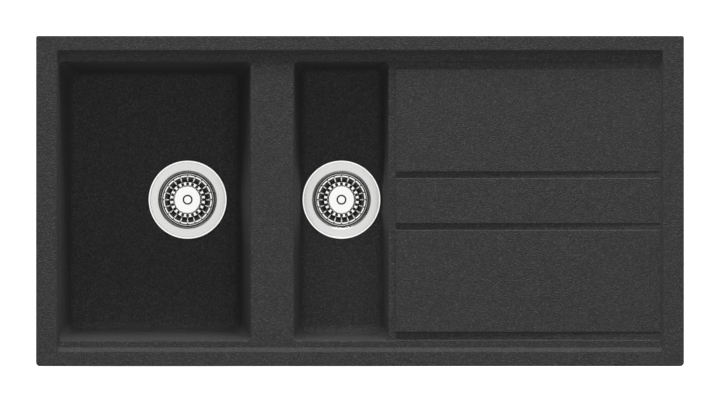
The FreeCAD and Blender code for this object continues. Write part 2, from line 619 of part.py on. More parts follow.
def draw_seal_ring(sketch):
    """Ring in the middle of the rim's seat, shared by the sealing strip and its groove."""
    inner_gap = "(Sizes.seat_width - Sizes.strip_seal_width)/2"
    for tag, out in (("inner", f"({inner_gap})"), ("outer", f"({inner_gap} + Sizes.strip_seal_width)")):
        half_x, half_y = f"({DECK_X} + {out})", f"({DECK_Y} + {out})"
        corner = f"(Sizes.corner_front + {out})"
        draw_rounded_rectangle(sketch, tag, f"-{half_x}", half_x, f"-{half_y}", half_y, [corner]*4)


# Each clamp: where it is, its screw's place, and the way its parked claw points.
CLAMP_X = f"({DECK_X} - Sizes.insert_inset)"
CLAMP_Y = f"({DECK_Y} - Sizes.insert_inset)"
CLAMPS = [
    ("front_left", "-Sizes.clamp_spacing", f"-{CLAMP_Y}", 180),
    ("front_middle", "0", f"-{CLAMP_Y}", 180),
    ("front_right", "Sizes.clamp_spacing", f"-{CLAMP_Y}", 180),
    ("rear_left", "-Sizes.clamp_spacing", CLAMP_Y, 0),
    ("rear_middle", "0", CLAMP_Y, 0),
    ("rear_right", "Sizes.clamp_spacing", CLAMP_Y, 0),
    ("right_front", CLAMP_X, "-Sizes.clamp_spacing_right", -90),
    ("right_rear", CLAMP_X, "Sizes.clamp_spacing_right", -90),
]
MAIN_DRAIN_X = f"({MAIN_EAST} - Sizes.drain_from_divider)"
SMALL_DRAIN_X = f"(({SMALL_WEST} + {SMALL_EAST})/2)"


def sink_body():
    """The whole moulding as one solid."""
    body = new_body("sink_body")
    rim_and_deck(body)
    underside(body)
    recess(body)
    bowl_outside(body, "main", MAIN_WEST, MAIN_EAST, "Sizes.main_depth")
    bowl_outside(body, "small", SMALL_WEST, SMALL_EAST, "Sizes.small_depth")
    bowl_inside(body, "main", MAIN_WEST, MAIN_EAST, "Sizes.main_depth", 0, 1)
    drain_opening(body, "main_drain", MAIN_DRAIN_X, "Sizes.main_depth")
    bowl_inside(body, "small", SMALL_WEST, SMALL_EAST, "Sizes.small_depth", 1, 0)
    flange_way(body, "small_drain", SMALL_DRAIN_X, "Sizes.small_depth")
    drain_opening(body, "small_drain", SMALL_DRAIN_X, "Sizes.small_depth")
    strip(body)
    grooves(body)
    return body


def sealing_strip():
    """Foam strip in the groove under the rim, flush with the worktop's face."""
    body = new_body("sealing_strip")
    outline = add_sketch(body, "strip_outline")
    draw_seal_ring(outline)
    extrude(body, "Pad", "strip_pad", outline, "Sizes.strip_seal_height")
    return body


# ---------------------------------------------------------------- clamps under the rim

def clamp_inserts():
    """Brass inserts in the deck's underside."""
    master = new_body("insert_master")
    revolve(master, "insert", [
        (INSERT_BORE, "0"), (INSERT_RADIUS, "0"),
        (INSERT_RADIUS, "Sizes.insert_length"), (INSERT_BORE, "Sizes.insert_length"),
    ])
    return group("clamp_inserts", master, [(x, y, DECK_UNDER) for _, x, y, _ in CLAMPS])


def clamp_screws():
    """Slotted screws up through the claws into the inserts."""
    master = new_body("clamp_screw_master")
    top = "(Sizes.insert_length - 1)"
    foot = f"({WASHER_FOOT} - Sizes.clamp_head_height)"
    head = "(Sizes.clamp_screw_radius + Sizes.clamp_head_width)"
    revolve(master, "clamp_screw", [
        ("0", foot), (head, foot), (head, WASHER_FOOT),
        ("Sizes.clamp_screw_radius", WASHER_FOOT), ("Sizes.clamp_screw_radius", top), ("0", top),
    ], [(head, foot, "Sizes.clamp_head_height/3")])
    slot = add_sketch(master, "slot_outline", offset=f"{foot} - 1")
    half_x, half_y = f"({head} + 1)", "(Sizes.clamp_slot_width/2)"
    draw_polygon(slot, "slot", [
        (f"-{half_x}", f"-{half_y}"), (half_x, f"-{half_y}"), (half_x, half_y), (f"-{half_x}", half_y),
    ])
    extrude(master, "Pocket", "slot", slot, "Sizes.clamp_slot_depth + 1", reverse=True)
    return group("clamp_screws", master, [(x, y, DECK_UNDER) for _, x, y, _ in CLAMPS])


def clamp_washers():
    """Washers between the claws and the screw heads."""
    master = new_body("clamp_washer_master")
    outer = f"({CLAW_BORE} + Sizes.washer_width)"
    revolve(master, "clamp_washer", [
        (CLAW_BORE, WASHER_FOOT), (outer, WASHER_FOOT), (outer, WASHER_TOP), (CLAW_BORE, WASHER_TOP),
    ])
    return group("clamp_washers", master, [(x, y, DECK_UNDER) for _, x, y, _ in CLAMPS])


def clamp_claw(place_name, x, y, turn):
    """Bent claw. Its heel bears on the deck and its tip goes under the worktop."""
    body = new_body(f"clamp_claw_{place_name}")
    profile = add_sketch(body, f"claw_profile_{place_name}", "XZ_Plane")
    heel_out, heel_in = "(-Sizes.claw_heel_reach)", "(Sizes.claw_sheet - Sizes.claw_heel_reach)"
    tip_in, tip_out = "(Sizes.claw_tip_reach - Sizes.claw_sheet)", "Sizes.claw_tip_reach"
    plate_top = f"({PLATE_FOOT} + Sizes.claw_sheet)"
    tip_top = f"({plate_top} + Sizes.claw_tip_height)"
    heel_top = "(-Sizes.claw_clearance)"
    draw_polygon(profile, "claw", [
        (heel_out, heel_top), (heel_out, PLATE_FOOT), (tip_out, PLATE_FOOT), (tip_out, tip_top),
        (tip_in, tip_top), (tip_in, plate_top), (heel_in, plate_top), (heel_in, heel_top),
    ])
    extrude(body, "Pad", f"claw_{place_name}", profile, "Sizes.claw_width", midplane=True)
    foot = size(PLATE_FOOT)
    bends = (-size("Sizes.claw_heel_reach"), size("Sizes.claw_tip_reach"))

    def is_bend(edge):
        box = edge.BoundBox
        across = box.YLength > 1 and box.XLength < 0.01 and abs(box.ZMin - foot) < 0.01 and box.ZLength < 0.01
        return across and any(abs(box.XMin - bend) < 0.01 for bend in bends)

    fillet(body, f"claw_bends_{place_name}", is_bend, "Sizes.claw_sheet*0.9")
    hole = add_sketch(body, f"claw_hole_{place_name}", offset=f"{PLATE_FOOT} + Sizes.claw_sheet + 1")
    draw_circle(hole, "hole", "0", "0", CLAW_BORE)
    extrude(body, "Pocket", f"claw_bore_{place_name}", hole, "Sizes.claw_sheet + 2")
    place(body, x, y, DECK_UNDER, turn)
    return body


# ---------------------------------------------------------------- waste fittings, one set for each bowl

def flange_gasket(prefix):
    """Rubber ring between the strainer flange and its seat."""
    body = new_body(f"{prefix}_flange_gasket")
    outer = "(Sizes.flange_radius - Sizes.gasket_inset)"
    revolve(body, f"{prefix}_flange_gasket", [
        (GASKET_BORE, "0"), (outer, "0"),
        (outer, "Sizes.gasket_thickness"), (GASKET_BORE, "Sizes.gasket_thickness"),
    ])
    return body


def strainer_cup(prefix):
    """Pressed cup: flange with a rolled rim, tapered wall, seal seat, and drain well with holes."""
    body = new_body(f"{prefix}_strainer_cup")
    bore = "(Sizes.screw_radius + Sizes.screw_clearance)"
    bead_in = "(Sizes.flange_radius - Sizes.flange_bead)"
    bead_top = f"({FLANGE_TOP} + Sizes.flange_bead_rise)"
    lip_in = "(Sizes.flange_radius - Sizes.sheet)"
    t = "Sizes.sheet"
    throat_out = f"(Sizes.throat_radius + {t})"
    revolve(body, f"{prefix}_cup", [
        (bore, WELL_FLOOR), ("Sizes.well_radius", WELL_FLOOR), ("Sizes.well_radius", SEAL_SEAT),
        (CUP_FOOT_RADIUS, SEAL_SEAT), ("Sizes.throat_radius", FLANGE_TOP),
        (bead_in, FLANGE_TOP), (f"({bead_in} + 0.6)", bead_top), ("Sizes.flange_radius", bead_top),
        ("Sizes.flange_radius", f"({t}/2)"), (lip_in, f"({t}/2)"), (lip_in, "Sizes.gasket_thickness"),
        (throat_out, "Sizes.gasket_thickness"), (f"({CUP_FOOT_RADIUS} + {t})", f"({SEAL_SEAT} - {t})"),
        (f"(Sizes.well_radius + {t})", f"({SEAL_SEAT} - {t})"),
        (f"(Sizes.well_radius + {t})", f"({WELL_FLOOR} - {t})"), (bore, f"({WELL_FLOOR} - {t})"),
    ], [
        ("Sizes.throat_radius", FLANGE_TOP, "Sizes.throat_round"),
        (throat_out, "Sizes.gasket_thickness", f"Sizes.throat_round - {t}"),
        ("Sizes.flange_radius", bead_top, "Sizes.sheet*0.9"),
        (f"({bead_in} + 0.6)", bead_top, "Sizes.sheet*0.6"),
        (CUP_FOOT_RADIUS, SEAL_SEAT, "Sizes.sheet*2"),
        ("Sizes.well_radius", SEAL_SEAT, "Sizes.sheet"),
        ("Sizes.well_radius", WELL_FLOOR, "Sizes.sheet*1.5"),
    ])
    hole = add_sketch(body, f"{prefix}_well_hole_outline", offset=f"{WELL_FLOOR} + 1")
    circle = f"(({SCREW_HEAD_RADIUS} + Sizes.well_radius)/2)"
    draw_circle(hole, "hole", circle, "0", "Sizes.well_hole_radius")
    cut = extrude(body, "Pocket", f"{prefix}_well_hole", hole, "Sizes.sheet + 2")
    pattern_round(body, f"{prefix}_well_holes", cut, "Sizes.well_hole_count")
    return body


def waste_gasket(prefix):
    """Thick rubber ring between the bowl's underside and the waste body."""
    body = new_body(f"{prefix}_waste_gasket")
    revolve(body, f"{prefix}_waste_gasket", [
        (GASKET_BORE, WASTE_TOP), (WASTE_FLANGE_RADIUS, WASTE_TOP),
        (WASTE_FLANGE_RADIUS, FLOOR_UNDER), (GASKET_BORE, FLOOR_UNDER),
    ])
    return body


def waste_body(prefix):
    """Plastic bowl below the sink, with a hub on arms for the screw and a threaded outlet."""
    body = new_body(f"{prefix}_waste_body")
    outer = f"({GASKET_BORE} + Sizes.waste_wall)"
    flange_foot = f"({WASTE_TOP} - Sizes.waste_flange_thickness)"
    revolve(body, f"{prefix}_waste", [
        (GASKET_BORE, WASTE_TOP), (GASKET_BORE, WASTE_FOOT),
        (OUTLET_BORE, OUTLET_TOP), (OUTLET_BORE, OUTLET_END),
        ("Sizes.outlet_radius", OUTLET_END), ("Sizes.outlet_radius", OUTLET_TOP),
        (outer, f"({WASTE_FOOT} - 1)"), (outer, flange_foot),
        (WASTE_FLANGE_RADIUS, flange_foot), (WASTE_FLANGE_RADIUS, WASTE_TOP),
    ], [(outer, f"({WASTE_FOOT} - 1)", "Sizes.waste_wall"), (outer, flange_foot, "Sizes.waste_wall/2")])
    arm = add_sketch(body, f"{prefix}_arm_outline", offset=HUB_TOP)
    reach, half = f"({GASKET_BORE} + Sizes.waste_wall/2)", "(Sizes.hub_rib/2)"
    draw_polygon(arm, "arm", [("0", f"-{half}"), (reach, f"-{half}"), (reach, half), ("0", half)])
    first = extrude(body, "Pad", f"{prefix}_arm", arm, "Sizes.hub_height", reverse=True)
    pattern_round(body, f"{prefix}_arms", first, "Sizes.hub_arm_count")
    hub = add_sketch(body, f"{prefix}_hub_outline", offset=HUB_TOP)
    draw_circle(hub, "hub", "0", "0", f"({WASTE_NUT_RADIUS} + Sizes.hub_wall)")
    extrude(body, "Pad", f"{prefix}_hub", hub, "Sizes.hub_height", reverse=True)
    bore = add_sketch(body, f"{prefix}_hub_bore_outline", offset=f"{HUB_TOP} + 1")
    draw_circle(bore, "bore", "0", "0", "(Sizes.screw_radius + Sizes.screw_clearance)")
    extrude(body, "Pocket", f"{prefix}_hub_bore", bore, "Sizes.hub_height + 2")
    pocket = add_sketch(body, f"{prefix}_nut_pocket_outline", offset=f"{HUB_FOOT} - 1")
    draw_circle(pocket, "pocket", "0", "0", WASTE_NUT_RADIUS)
    extrude(body, "Pocket", f"{prefix}_nut_pocket", pocket, "Sizes.waste_nut_height + 1", reverse=True)
    return body


def waste_nut(prefix):
    """Brass nut moulded into the hub."""
    body = new_body(f"{prefix}_waste_nut")
    top = f"({HUB_FOOT} + Sizes.waste_nut_height)"
    revolve(body, f"{prefix}_waste_nut", [
        (WASTE_NUT_BORE, HUB_FOOT), (WASTE_NUT_RADIUS, HUB_FOOT),
        (WASTE_NUT_RADIUS, top), (WASTE_NUT_BORE, top),
    ])
    return body


def waste_screw(prefix):
    """Long screw that pulls cup and waste body together. The stem drops into its hollow head."""
    body = new_body(f"{prefix}_waste_screw")
    socket_floor = f"({SCREW_HEAD_TOP} - Sizes.socket_depth)"
    foot = f"({HUB_FOOT} + 1)"
    revolve(body, f"{prefix}_waste_screw", [
        ("0", foot), ("Sizes.screw_radius", foot), ("Sizes.screw_radius", WELL_FLOOR),
        (SCREW_HEAD_RADIUS, WELL_FLOOR), (SCREW_HEAD_RADIUS, SCREW_HEAD_TOP),
        (SOCKET_RADIUS, SCREW_HEAD_TOP), (SOCKET_RADIUS, socket_floor), ("0", socket_floor),
    ], [(SCREW_HEAD_RADIUS, SCREW_HEAD_TOP, "Sizes.sheet")])
    return body


def basket(prefix):
    """Lift-out basket: rolled rim, leaning wall with windows, and a floor with holes round a raised disc."""
    body = new_body(f"{prefix}_basket")
    t = "Sizes.sheet"
    bore = "Sizes.stem_radius"
    rim_under = f"({BASKET_TOP} - {t})"
    disc_edge = "(Sizes.basket_dome_radius - Sizes.basket_dome_rise)"
    revolve(body, f"{prefix}_basket", [
        (bore, DOME_TOP), (disc_edge, f"({DOME_TOP} - 0.6)"), ("Sizes.basket_dome_radius", BASKET_FLOOR),
        (BASKET_FOOT_RADIUS, BASKET_FLOOR), (BASKET_MOUTH, BASKET_TOP), (BASKET_RADIUS, BASKET_TOP),
        (BASKET_RADIUS, f"({rim_under} - 1.4)"), (f"({BASKET_RADIUS} - {t})", f"({rim_under} - 1.4)"),
        (f"({BASKET_RADIUS} - {t})", rim_under), (f"({BASKET_MOUTH} + {t})", rim_under),
        (f"({BASKET_FOOT_RADIUS} + {t})", BASKET_UNDER),
        (f"(Sizes.basket_dome_radius - {t}/2)", BASKET_UNDER),
        (f"({disc_edge} - {t}/2)", f"({DOME_TOP} - 0.6 - {t})"), (bore, f"({DOME_TOP} - {t})"),
    ], [
        (disc_edge, f"({DOME_TOP} - 0.6)", "Sizes.basket_dome_rise"),
        ("Sizes.basket_dome_radius", BASKET_FLOOR, "Sizes.sheet"),
        (BASKET_MOUTH, BASKET_TOP, "Sizes.sheet"),
        (BASKET_RADIUS, BASKET_TOP, "Sizes.sheet*0.9"),
    ])
    window = add_sketch(body, f"{prefix}_window_outline", offset=f"{BASKET_TOP} + 1")
    spread = "tan(Sizes.window_angle/2)"
    inner = f"({BASKET_FOOT_RADIUS} + {t} + Sizes.window_rise)"
    outer = f"({BASKET_MOUTH} - Sizes.window_drop)"
    draw_polygon(window, "window", [
        (inner, f"(-{inner}*{spread})"), (outer, f"(-{outer}*{spread})"),
        (outer, f"({outer}*{spread})"), (inner, f"({inner}*{spread})"),
    ])
    cut = extrude(body, "Pocket", f"{prefix}_window", window, "Sizes.basket_height + 3")
    pattern_round(body, f"{prefix}_windows", cut, "Sizes.window_count")
    notch = add_sketch(body, f"{prefix}_notch_outline", offset=f"{BASKET_TOP} + 1")
    middle = "(180/Sizes.window_count)"
    notch_in, notch_out = f"({outer} + 0.6)", f"({BASKET_MOUTH} + {t})"
    half = "(Sizes.notch_width/2)"
    corners = [(notch_in, f"-{half}"), (notch_out, f"-{half}"), (notch_out, half), (notch_in, half)]
    draw_polygon(notch, "notch", [
        (f"({x}*cos({middle}) - ({y})*sin({middle}))", f"({x}*sin({middle}) + ({y})*cos({middle}))")
        for x, y in corners
    ])
    cut = extrude(body, "Pocket", f"{prefix}_notch", notch, "Sizes.sheet + 3")
    pattern_round(body, f"{prefix}_notches", cut, "Sizes.window_count")
    hole = add_sketch(body, f"{prefix}_drip_hole_outline", offset=f"{BASKET_FLOOR} + 1")
    circle = f"((Sizes.basket_dome_radius + {BASKET_FOOT_RADIUS})/2)"
    hole_x, hole_y = f"({circle}*cos({middle}))", f"({circle}*sin({middle}))"
    draw_circle(hole, "hole", hole_x, hole_y, "Sizes.drip_hole_radius")
    cut = extrude(body, "Pocket", f"{prefix}_drip_hole", hole, "Sizes.sheet + 2")
    pattern_round(body, f"{prefix}_drip_holes", cut, "Sizes.window_count")
    return body


def basket_knob(prefix):
    """Turned button that lifts the basket."""
    body = new_body(f"{prefix}_basket_knob")
    neck = "(Sizes.stem_radius + Sizes.knob_shoulder)"
    top = f"({DOME_TOP} + Sizes.knob_height)"
    brim = f"({DOME_TOP} + Sizes.knob_height*0.55)"
    revolve(body, f"{prefix}_knob", [
        (STUD_RADIUS, DOME_TOP), (neck, DOME_TOP), (neck, brim),
        ("Sizes.knob_radius", f"({brim} + 0.8)"), ("Sizes.knob_radius", f"({top} - 1)"),
        ("(Sizes.knob_radius*0.75)", top), ("0", top), ("0", f"({DOME_TOP} + Sizes.stud_length)"),
        (STUD_RADIUS, f"({DOME_TOP} + Sizes.stud_length)"),
    ], [
        ("Sizes.knob_radius", f"({top} - 1)", "Sizes.knob_height/9"),
        ("(Sizes.knob_radius*0.75)", top, "Sizes.knob_height/9"),
    ])
    return body


def basket_stem(prefix):
    """Stem from the knob down through basket, seal and nut to the screw's hollow head."""
    body = new_body(f"{prefix}_basket_stem")
    foot = f"({SCREW_HEAD_TOP} - Sizes.socket_depth + 0.5)"
    revolve(body, f"{prefix}_stem", [
        ("0", foot), ("Sizes.stem_radius", foot), ("Sizes.stem_radius", DOME_TOP),
        (STUD_RADIUS, DOME_TOP), (STUD_RADIUS, f"({DOME_TOP} + Sizes.stud_length)"),
        ("0", f"({DOME_TOP} + Sizes.stud_length)"),
    ], [("Sizes.stem_radius", foot, "Sizes.stem_radius/4")])
    return body


def basket_seal(prefix):
    """Rubber disc under the basket that closes the drain well."""
    body = new_body(f"{prefix}_basket_seal")
    lip = f"({SEAL_FOOT} + Sizes.seal_thickness/2)"
    revolve(body, f"{prefix}_seal", [
        ("Sizes.stem_radius", SEAL_FOOT), (SEAL_RADIUS, SEAL_FOOT), (SEAL_RADIUS, lip),
        (f"({SEAL_RADIUS} - 5)", BASKET_UNDER), ("Sizes.stem_radius", BASKET_UNDER),
    ])
    return body


def seal_nut(prefix):
    """Flat nut that holds the seal on the stem."""
    body = new_body(f"{prefix}_seal_nut")
    foot = f"({SEAL_FOOT} - Sizes.seal_nut_height)"
    revolve(body, f"{prefix}_seal_nut", [
        ("Sizes.stem_radius", foot), ("Sizes.seal_nut_radius", foot),
        ("Sizes.seal_nut_radius", SEAL_FOOT), ("Sizes.stem_radius", SEAL_FOOT),
    ])
    return body


def waste_set(prefix, x, depth):
    """All the fittings of one bowl, stood on the flange's seat."""
    makers = (
        flange_gasket, strainer_cup, waste_gasket, waste_body, waste_nut, waste_screw,
        basket, basket_knob, basket_stem, basket_seal, seal_nut,
    )
    pieces = [maker(prefix) for maker in makers]
    for piece in pieces:
        place(piece, x, "Sizes.drain_rearward", f"{LEDGE} - {depth} - Sizes.flange_recess_depth")
    return pieces


def check_all():
    """Stop if any object failed."""
    for item in DOC.Objects:
        if "Invalid" in item.State or "Error" in item.State:
            raise RuntimeError(f"{item.Name} is {item.State}")


def write_nodes(nodes):
    """Write one file for each node."""
    os.makedirs("parts", exist_ok=True)
    for node in nodes:
        if node.Shape.isNull() or not node.Shape.isValid():
            raise RuntimeError(f"{node.Label} has a bad shape")
    for node in nodes:
        node.Shape.exportStep(os.path.join("parts", f"{node.Label}.step"))
        box = node.Shape.BoundBox
        print(
            f"{node.Label}: {len(node.Shape.Solids)} solid(s), {node.Shape.Volume/1000:.1f} cm3, "
            f"x {box.XMin:.1f} to {box.XMax:.1f}, y {box.YMin:.1f} to {box.YMax:.1f}, "
            f"z {box.ZMin:.1f} to {box.ZMax:.1f}"
        )


def main():
    fill_sheet()
    nodes = [sink_body(), sealing_strip(), clamp_inserts(), clamp_screws(), clamp_washers()]
    nodes += [clamp_claw(*clamp) for clamp in CLAMPS]
    nodes += waste_set("main", MAIN_DRAIN_X, "Sizes.main_depth")
    nodes += waste_set("small", SMALL_DRAIN_X, "Sizes.small_depth")
    DOC.recompute()
    check_all()
    write_nodes(nodes)


main()
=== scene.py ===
"""Looks of a composite kitchen sink with one and a half bowls, a drainer and two basket strainers.

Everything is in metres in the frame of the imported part: origin at the centre of the sink on the
worktop's top face, +X right along the length, +Y to the rear, +Z up.
"""
import json
import math

import bmesh
import bpy
from mathutils import Matrix, Vector


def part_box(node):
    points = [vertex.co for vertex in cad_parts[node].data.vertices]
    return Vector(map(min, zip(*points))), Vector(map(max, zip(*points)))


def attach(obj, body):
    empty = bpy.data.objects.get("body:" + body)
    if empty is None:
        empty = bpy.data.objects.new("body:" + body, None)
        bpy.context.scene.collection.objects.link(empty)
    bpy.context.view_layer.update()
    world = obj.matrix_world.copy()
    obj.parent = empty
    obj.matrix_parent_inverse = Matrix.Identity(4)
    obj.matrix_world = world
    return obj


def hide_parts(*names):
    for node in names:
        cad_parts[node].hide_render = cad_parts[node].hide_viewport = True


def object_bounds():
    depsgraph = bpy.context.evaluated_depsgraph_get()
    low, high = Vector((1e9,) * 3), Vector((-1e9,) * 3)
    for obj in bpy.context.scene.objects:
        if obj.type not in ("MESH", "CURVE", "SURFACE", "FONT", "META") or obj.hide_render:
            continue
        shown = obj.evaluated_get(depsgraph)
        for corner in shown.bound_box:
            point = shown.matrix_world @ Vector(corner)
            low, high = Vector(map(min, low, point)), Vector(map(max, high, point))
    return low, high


bl_info = {
    "name": "Composite kitchen sink",
    "version": (1, 0, 0),
    "blender": (4, 5, 0),
    "location": "3D View > Sidebar > Sink",
    "description": "Finishes of an inset composite sink, its strainers, wastes and clamps",
    "category": "Object",
}

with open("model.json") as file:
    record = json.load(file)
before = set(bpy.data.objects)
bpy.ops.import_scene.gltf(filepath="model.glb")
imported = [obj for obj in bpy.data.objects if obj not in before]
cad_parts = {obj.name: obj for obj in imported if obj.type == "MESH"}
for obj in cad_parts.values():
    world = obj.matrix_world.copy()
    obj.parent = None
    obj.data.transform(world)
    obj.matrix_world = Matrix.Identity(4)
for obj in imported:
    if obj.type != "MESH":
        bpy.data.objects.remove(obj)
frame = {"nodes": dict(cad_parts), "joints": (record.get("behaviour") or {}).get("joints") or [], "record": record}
CAD_BOX = [list(corner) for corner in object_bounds()]
NODES = frame["nodes"]
MOUNTS = {mount["name"]: mount for mount in frame["record"]["mounts"]}
MM = 0.001
SHARP_EDGE = math.radians(32)
BASKET_SHARP_EDGE = math.radians(38)
BOWLS = ("main", "small")
CLAMP_PLACES = (
    "front_left", "front_middle", "front_right", "rear_left",
    "rear_middle", "rear_right", "right_front", "right_rear",
)


# ---------------------------------------------------------------- settings

class SINK_PG_finishes(bpy.types.PropertyGroup):
    """Colours and grain of the finishes."""

    composite: bpy.props.StringProperty(
        name="Composite", description="sRGB colour of the moulding", default="#383839")
    composite_grain: bpy.props.FloatProperty(
        name="Grain", description="Width of a mineral grain as it shows", default=1.6 * MM,
        min=0.2 * MM, unit="LENGTH")
    stainless: bpy.props.StringProperty(
        name="Stainless steel", description="sRGB colour of the pressed steel", default="#e6e6e5")
    # Painted shade: a dark steel colour for the inside of the cups and the slope round each knob's top, standing
    # in for the shade there.
    painted_shade_steel: bpy.props.StringProperty(
        name="Drawn steel", description="sRGB colour inside the cups, left as drawn",
        default="#484847")
    rubber: bpy.props.StringProperty(
        name="Rubber", description="sRGB colour of seals and gaskets", default="#1b1b1c")
    plastic: bpy.props.StringProperty(
        name="Polypropylene", description="sRGB colour of the waste bodies", default="#202122")
    brass: bpy.props.StringProperty(
        name="Brass", description="sRGB colour of inserts and nuts", default="#c9a866")
    zinc: bpy.props.StringProperty(
        name="Zinc", description="sRGB colour of the plated clamps", default="#bfc3c6")


class SINK_PG_strainer(bpy.types.PropertyGroup):
    """Sizes of one strainer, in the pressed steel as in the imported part."""

    flange_radius: bpy.props.FloatProperty(
        name="Flange", description="Outer radius of the flange", default=60.5 * MM, unit="LENGTH")
    sheet: bpy.props.FloatProperty(
        name="Sheet", description="Thickness of the steel", default=1.2 * MM, unit="LENGTH")
    bars: bpy.props.IntProperty(
        name="Bars", description="Bars round the basket's wall", default=20, min=3)
    window: bpy.props.FloatProperty(
        name="Window", description="Opening angle of one window", default=math.radians(14.6),
        subtype="ANGLE")
    well_holes: bpy.props.IntProperty(
        name="Drain holes", description="Holes in the foot of the cup", default=8, min=3)


class SINK_PG_stage(bpy.types.PropertyGroup):
    """Camera and light."""

    frame_width: bpy.props.FloatProperty(
        name="Frame width", description="What the frame's width spans", default=1111.1 * MM,
        unit="LENGTH")
    camera_height: bpy.props.FloatProperty(
        name="Camera height", description="Height of the camera above the rim", default=3.0,
        unit="LENGTH")
    sky: bpy.props.FloatProperty(
        name="Sky", description="Strength of the even light from all round", default=0.214, min=0.0)
    rear_lamp: bpy.props.FloatProperty(
        name="Rear softbox", description="Power of the softbox behind the sink", default=530.0,
        min=0.0, unit="POWER")
    top_lamp: bpy.props.FloatProperty(
        name="Top softbox", description="Power of the softbox above the sink", default=96.0,
        min=0.0, unit="POWER")


# ---------------------------------------------------------------- nodes and materials

def linear(hex_text):
    """Linear colour of an sRGB hex value."""
    channels = [int(hex_text[place:place + 2], 16) / 255 for place in (1, 3, 5)]
    return tuple(
        c / 12.92 if c <= 0.04045 else ((c + 0.055) / 1.055) ** 2.4 for c in channels) + (1.0,)


def add(tree, kind, inputs=None, stops=(), **settings):
    """Add a node, set its properties, and give each named or numbered input a value or a link.

    stops are a colour ramp's positions, each with a linear colour or a grey.
    """
    made = tree.nodes.new(kind)
    for key, value in settings.items():
        setattr(made, key, value)
    for key, value in (inputs or {}).items():
        if isinstance(value, bpy.types.NodeSocket):
            tree.links.new(value, made.inputs[key])
        else:
            made.inputs[key].default_value = value
    for index, (position, value) in enumerate(stops):
        elements = made.color_ramp.elements
        element = elements[index] if index < len(elements) else elements.new(position)
        element.position = position
        element.color = value if isinstance(value, tuple) else (value, value, value, 1.0)
    return made


def new_material(name):
    """Empty node material: its tree and its shader, which is already joined to the output."""
    material = bpy.data.materials.new(name)
    material.use_nodes = True
    tree = material.node_tree
    tree.nodes.clear()
    shader = add(tree, "ShaderNodeBsdfPrincipled")
    add(tree, "ShaderNodeOutputMaterial", {"Surface": shader.outputs[0]})
    return material, tree, shader


def shade(base, factor):
    """Colour scaled towards black or white in linear light."""
    return tuple(min(1.0, channel * factor) for channel in base[:3]) + (1.0,)


def granite_composite(finishes):
    """Granite composite: quartz sand in dark acrylic resin, moulded.

    Matt and near-black. The grains lie just under the skin, so they show as small lighter and
    darker specks and as a fine unevenness that catches low light. Real grains are 0.1 to 0.6 mm
    wide, and are drawn here as coarse as a picture of the whole sink can show.
    """
    material, tree, shader = new_material("granite_composite_moulded")
    place = add(tree, "ShaderNodeTexCoord").outputs["Object"]
    base = linear(finishes.composite)
    grain = finishes.composite_grain
    cells = add(tree, "ShaderNodeTexVoronoi", {"Vector": place, "Scale": 1.0 / grain})
    speck = add(tree, "ShaderNodeSeparateColor", {"Color": cells.outputs["Color"]}).outputs["Red"]
    specks = add(tree, "ShaderNodeValToRGB", {"Fac": speck}, stops=[
        (0.0, shade(base, 0.62)), (0.5, shade(base, 0.93)), (0.92, shade(base, 1.3)),
        (1.0, shade(base, 1.85))])
    cloud = add(tree, "ShaderNodeTexNoise", {"Vector": place, "Scale": 1 / (28 * MM), "Detail": 3.0})
    mottle = add(tree, "ShaderNodeValToRGB", {"Fac": cloud.outputs["Fac"]}, stops=[
        (0.3, 0.93), (0.7, 1.0)])
    tint = add(tree, "ShaderNodeMix", {"Factor": 1.0, 6: specks.outputs[0], 7: mottle.outputs[0]},
               data_type="RGBA", blend_type="MULTIPLY")
    tree.links.new(tint.outputs[2], shader.inputs["Base Color"])
    skin = add(tree, "ShaderNodeTexNoise", {"Vector": place, "Scale": 1 / (3 * grain), "Detail": 3.0})
    gloss = add(tree, "ShaderNodeValToRGB", {"Fac": skin.outputs["Fac"]}, stops=[
        (0.3, 0.56), (0.7, 0.66)])
    tree.links.new(gloss.outputs[0], shader.inputs["Roughness"])
    shader.inputs["IOR"].default_value = 1.5
    shader.inputs["Specular IOR Level"].default_value = 0.14
    shader.inputs["Sheen Weight"].default_value = 0.03
    shader.inputs["Sheen Roughness"].default_value = 0.5
    pits = add(tree, "ShaderNodeTexNoise", {
        "Vector": place, "Scale": 1 / (1.2 * grain), "Detail": 1.0, "Roughness": 0.5})
    bump = add(tree, "ShaderNodeBump", {
        "Height": pits.outputs["Fac"], "Strength": 1.0, "Distance": 1.7 * MM})
    tree.links.new(bump.outputs[0], shader.inputs["Normal"])
    return material


def stainless(name, hex_text, roughness, lines, brightness=1.0):
    """Stainless steel, pressed and then turned against a belt or wheel.

    The fine lines run round the piece, along its UV map's first axis. They are drawn 0.4 mm
    apart, because real ones at 0.05 mm would not show.
    """
    material, tree, shader = new_material(name)
    uv = add(tree, "ShaderNodeUVMap", uv_map="turned").outputs[0]
    stretched = add(tree, "ShaderNodeMapping", {"Vector": uv, "Scale": (0.02, 1.0, 1.0)}).outputs[0]
    grooves = add(tree, "ShaderNodeTexNoise", {
        "Vector": stretched, "Scale": 1 / (0.4 * MM), "Detail": 2.0, "Roughness": 0.6}).outputs["Fac"]
    # A brightness above 1 is painted reflection: the same steel drawn lighter where it is polished or pressed
    # bright.
    base = shade(linear(hex_text), brightness)
    streaks = add(tree, "ShaderNodeValToRGB", {"Fac": grooves}, stops=[
        (0.3, shade(base, 1.0 - 0.08 * lines)), (0.7, base)])
    tree.links.new(streaks.outputs[0], shader.inputs["Base Color"])
    shader.inputs["Metallic"].default_value = 1.0
    smear = add(tree, "ShaderNodeValToRGB", {"Fac": grooves}, stops=[
        (0.25, roughness * (1 - 0.25 * lines)), (0.75, roughness * (1 + 0.25 * lines))])
    tree.links.new(smear.outputs[0], shader.inputs["Roughness"])
    bump = add(tree, "ShaderNodeBump", {
        "Height": grooves, "Strength": 0.12 * lines, "Distance": 0.05 * MM})
    tree.links.new(bump.outputs[0], shader.inputs["Normal"])
    return material


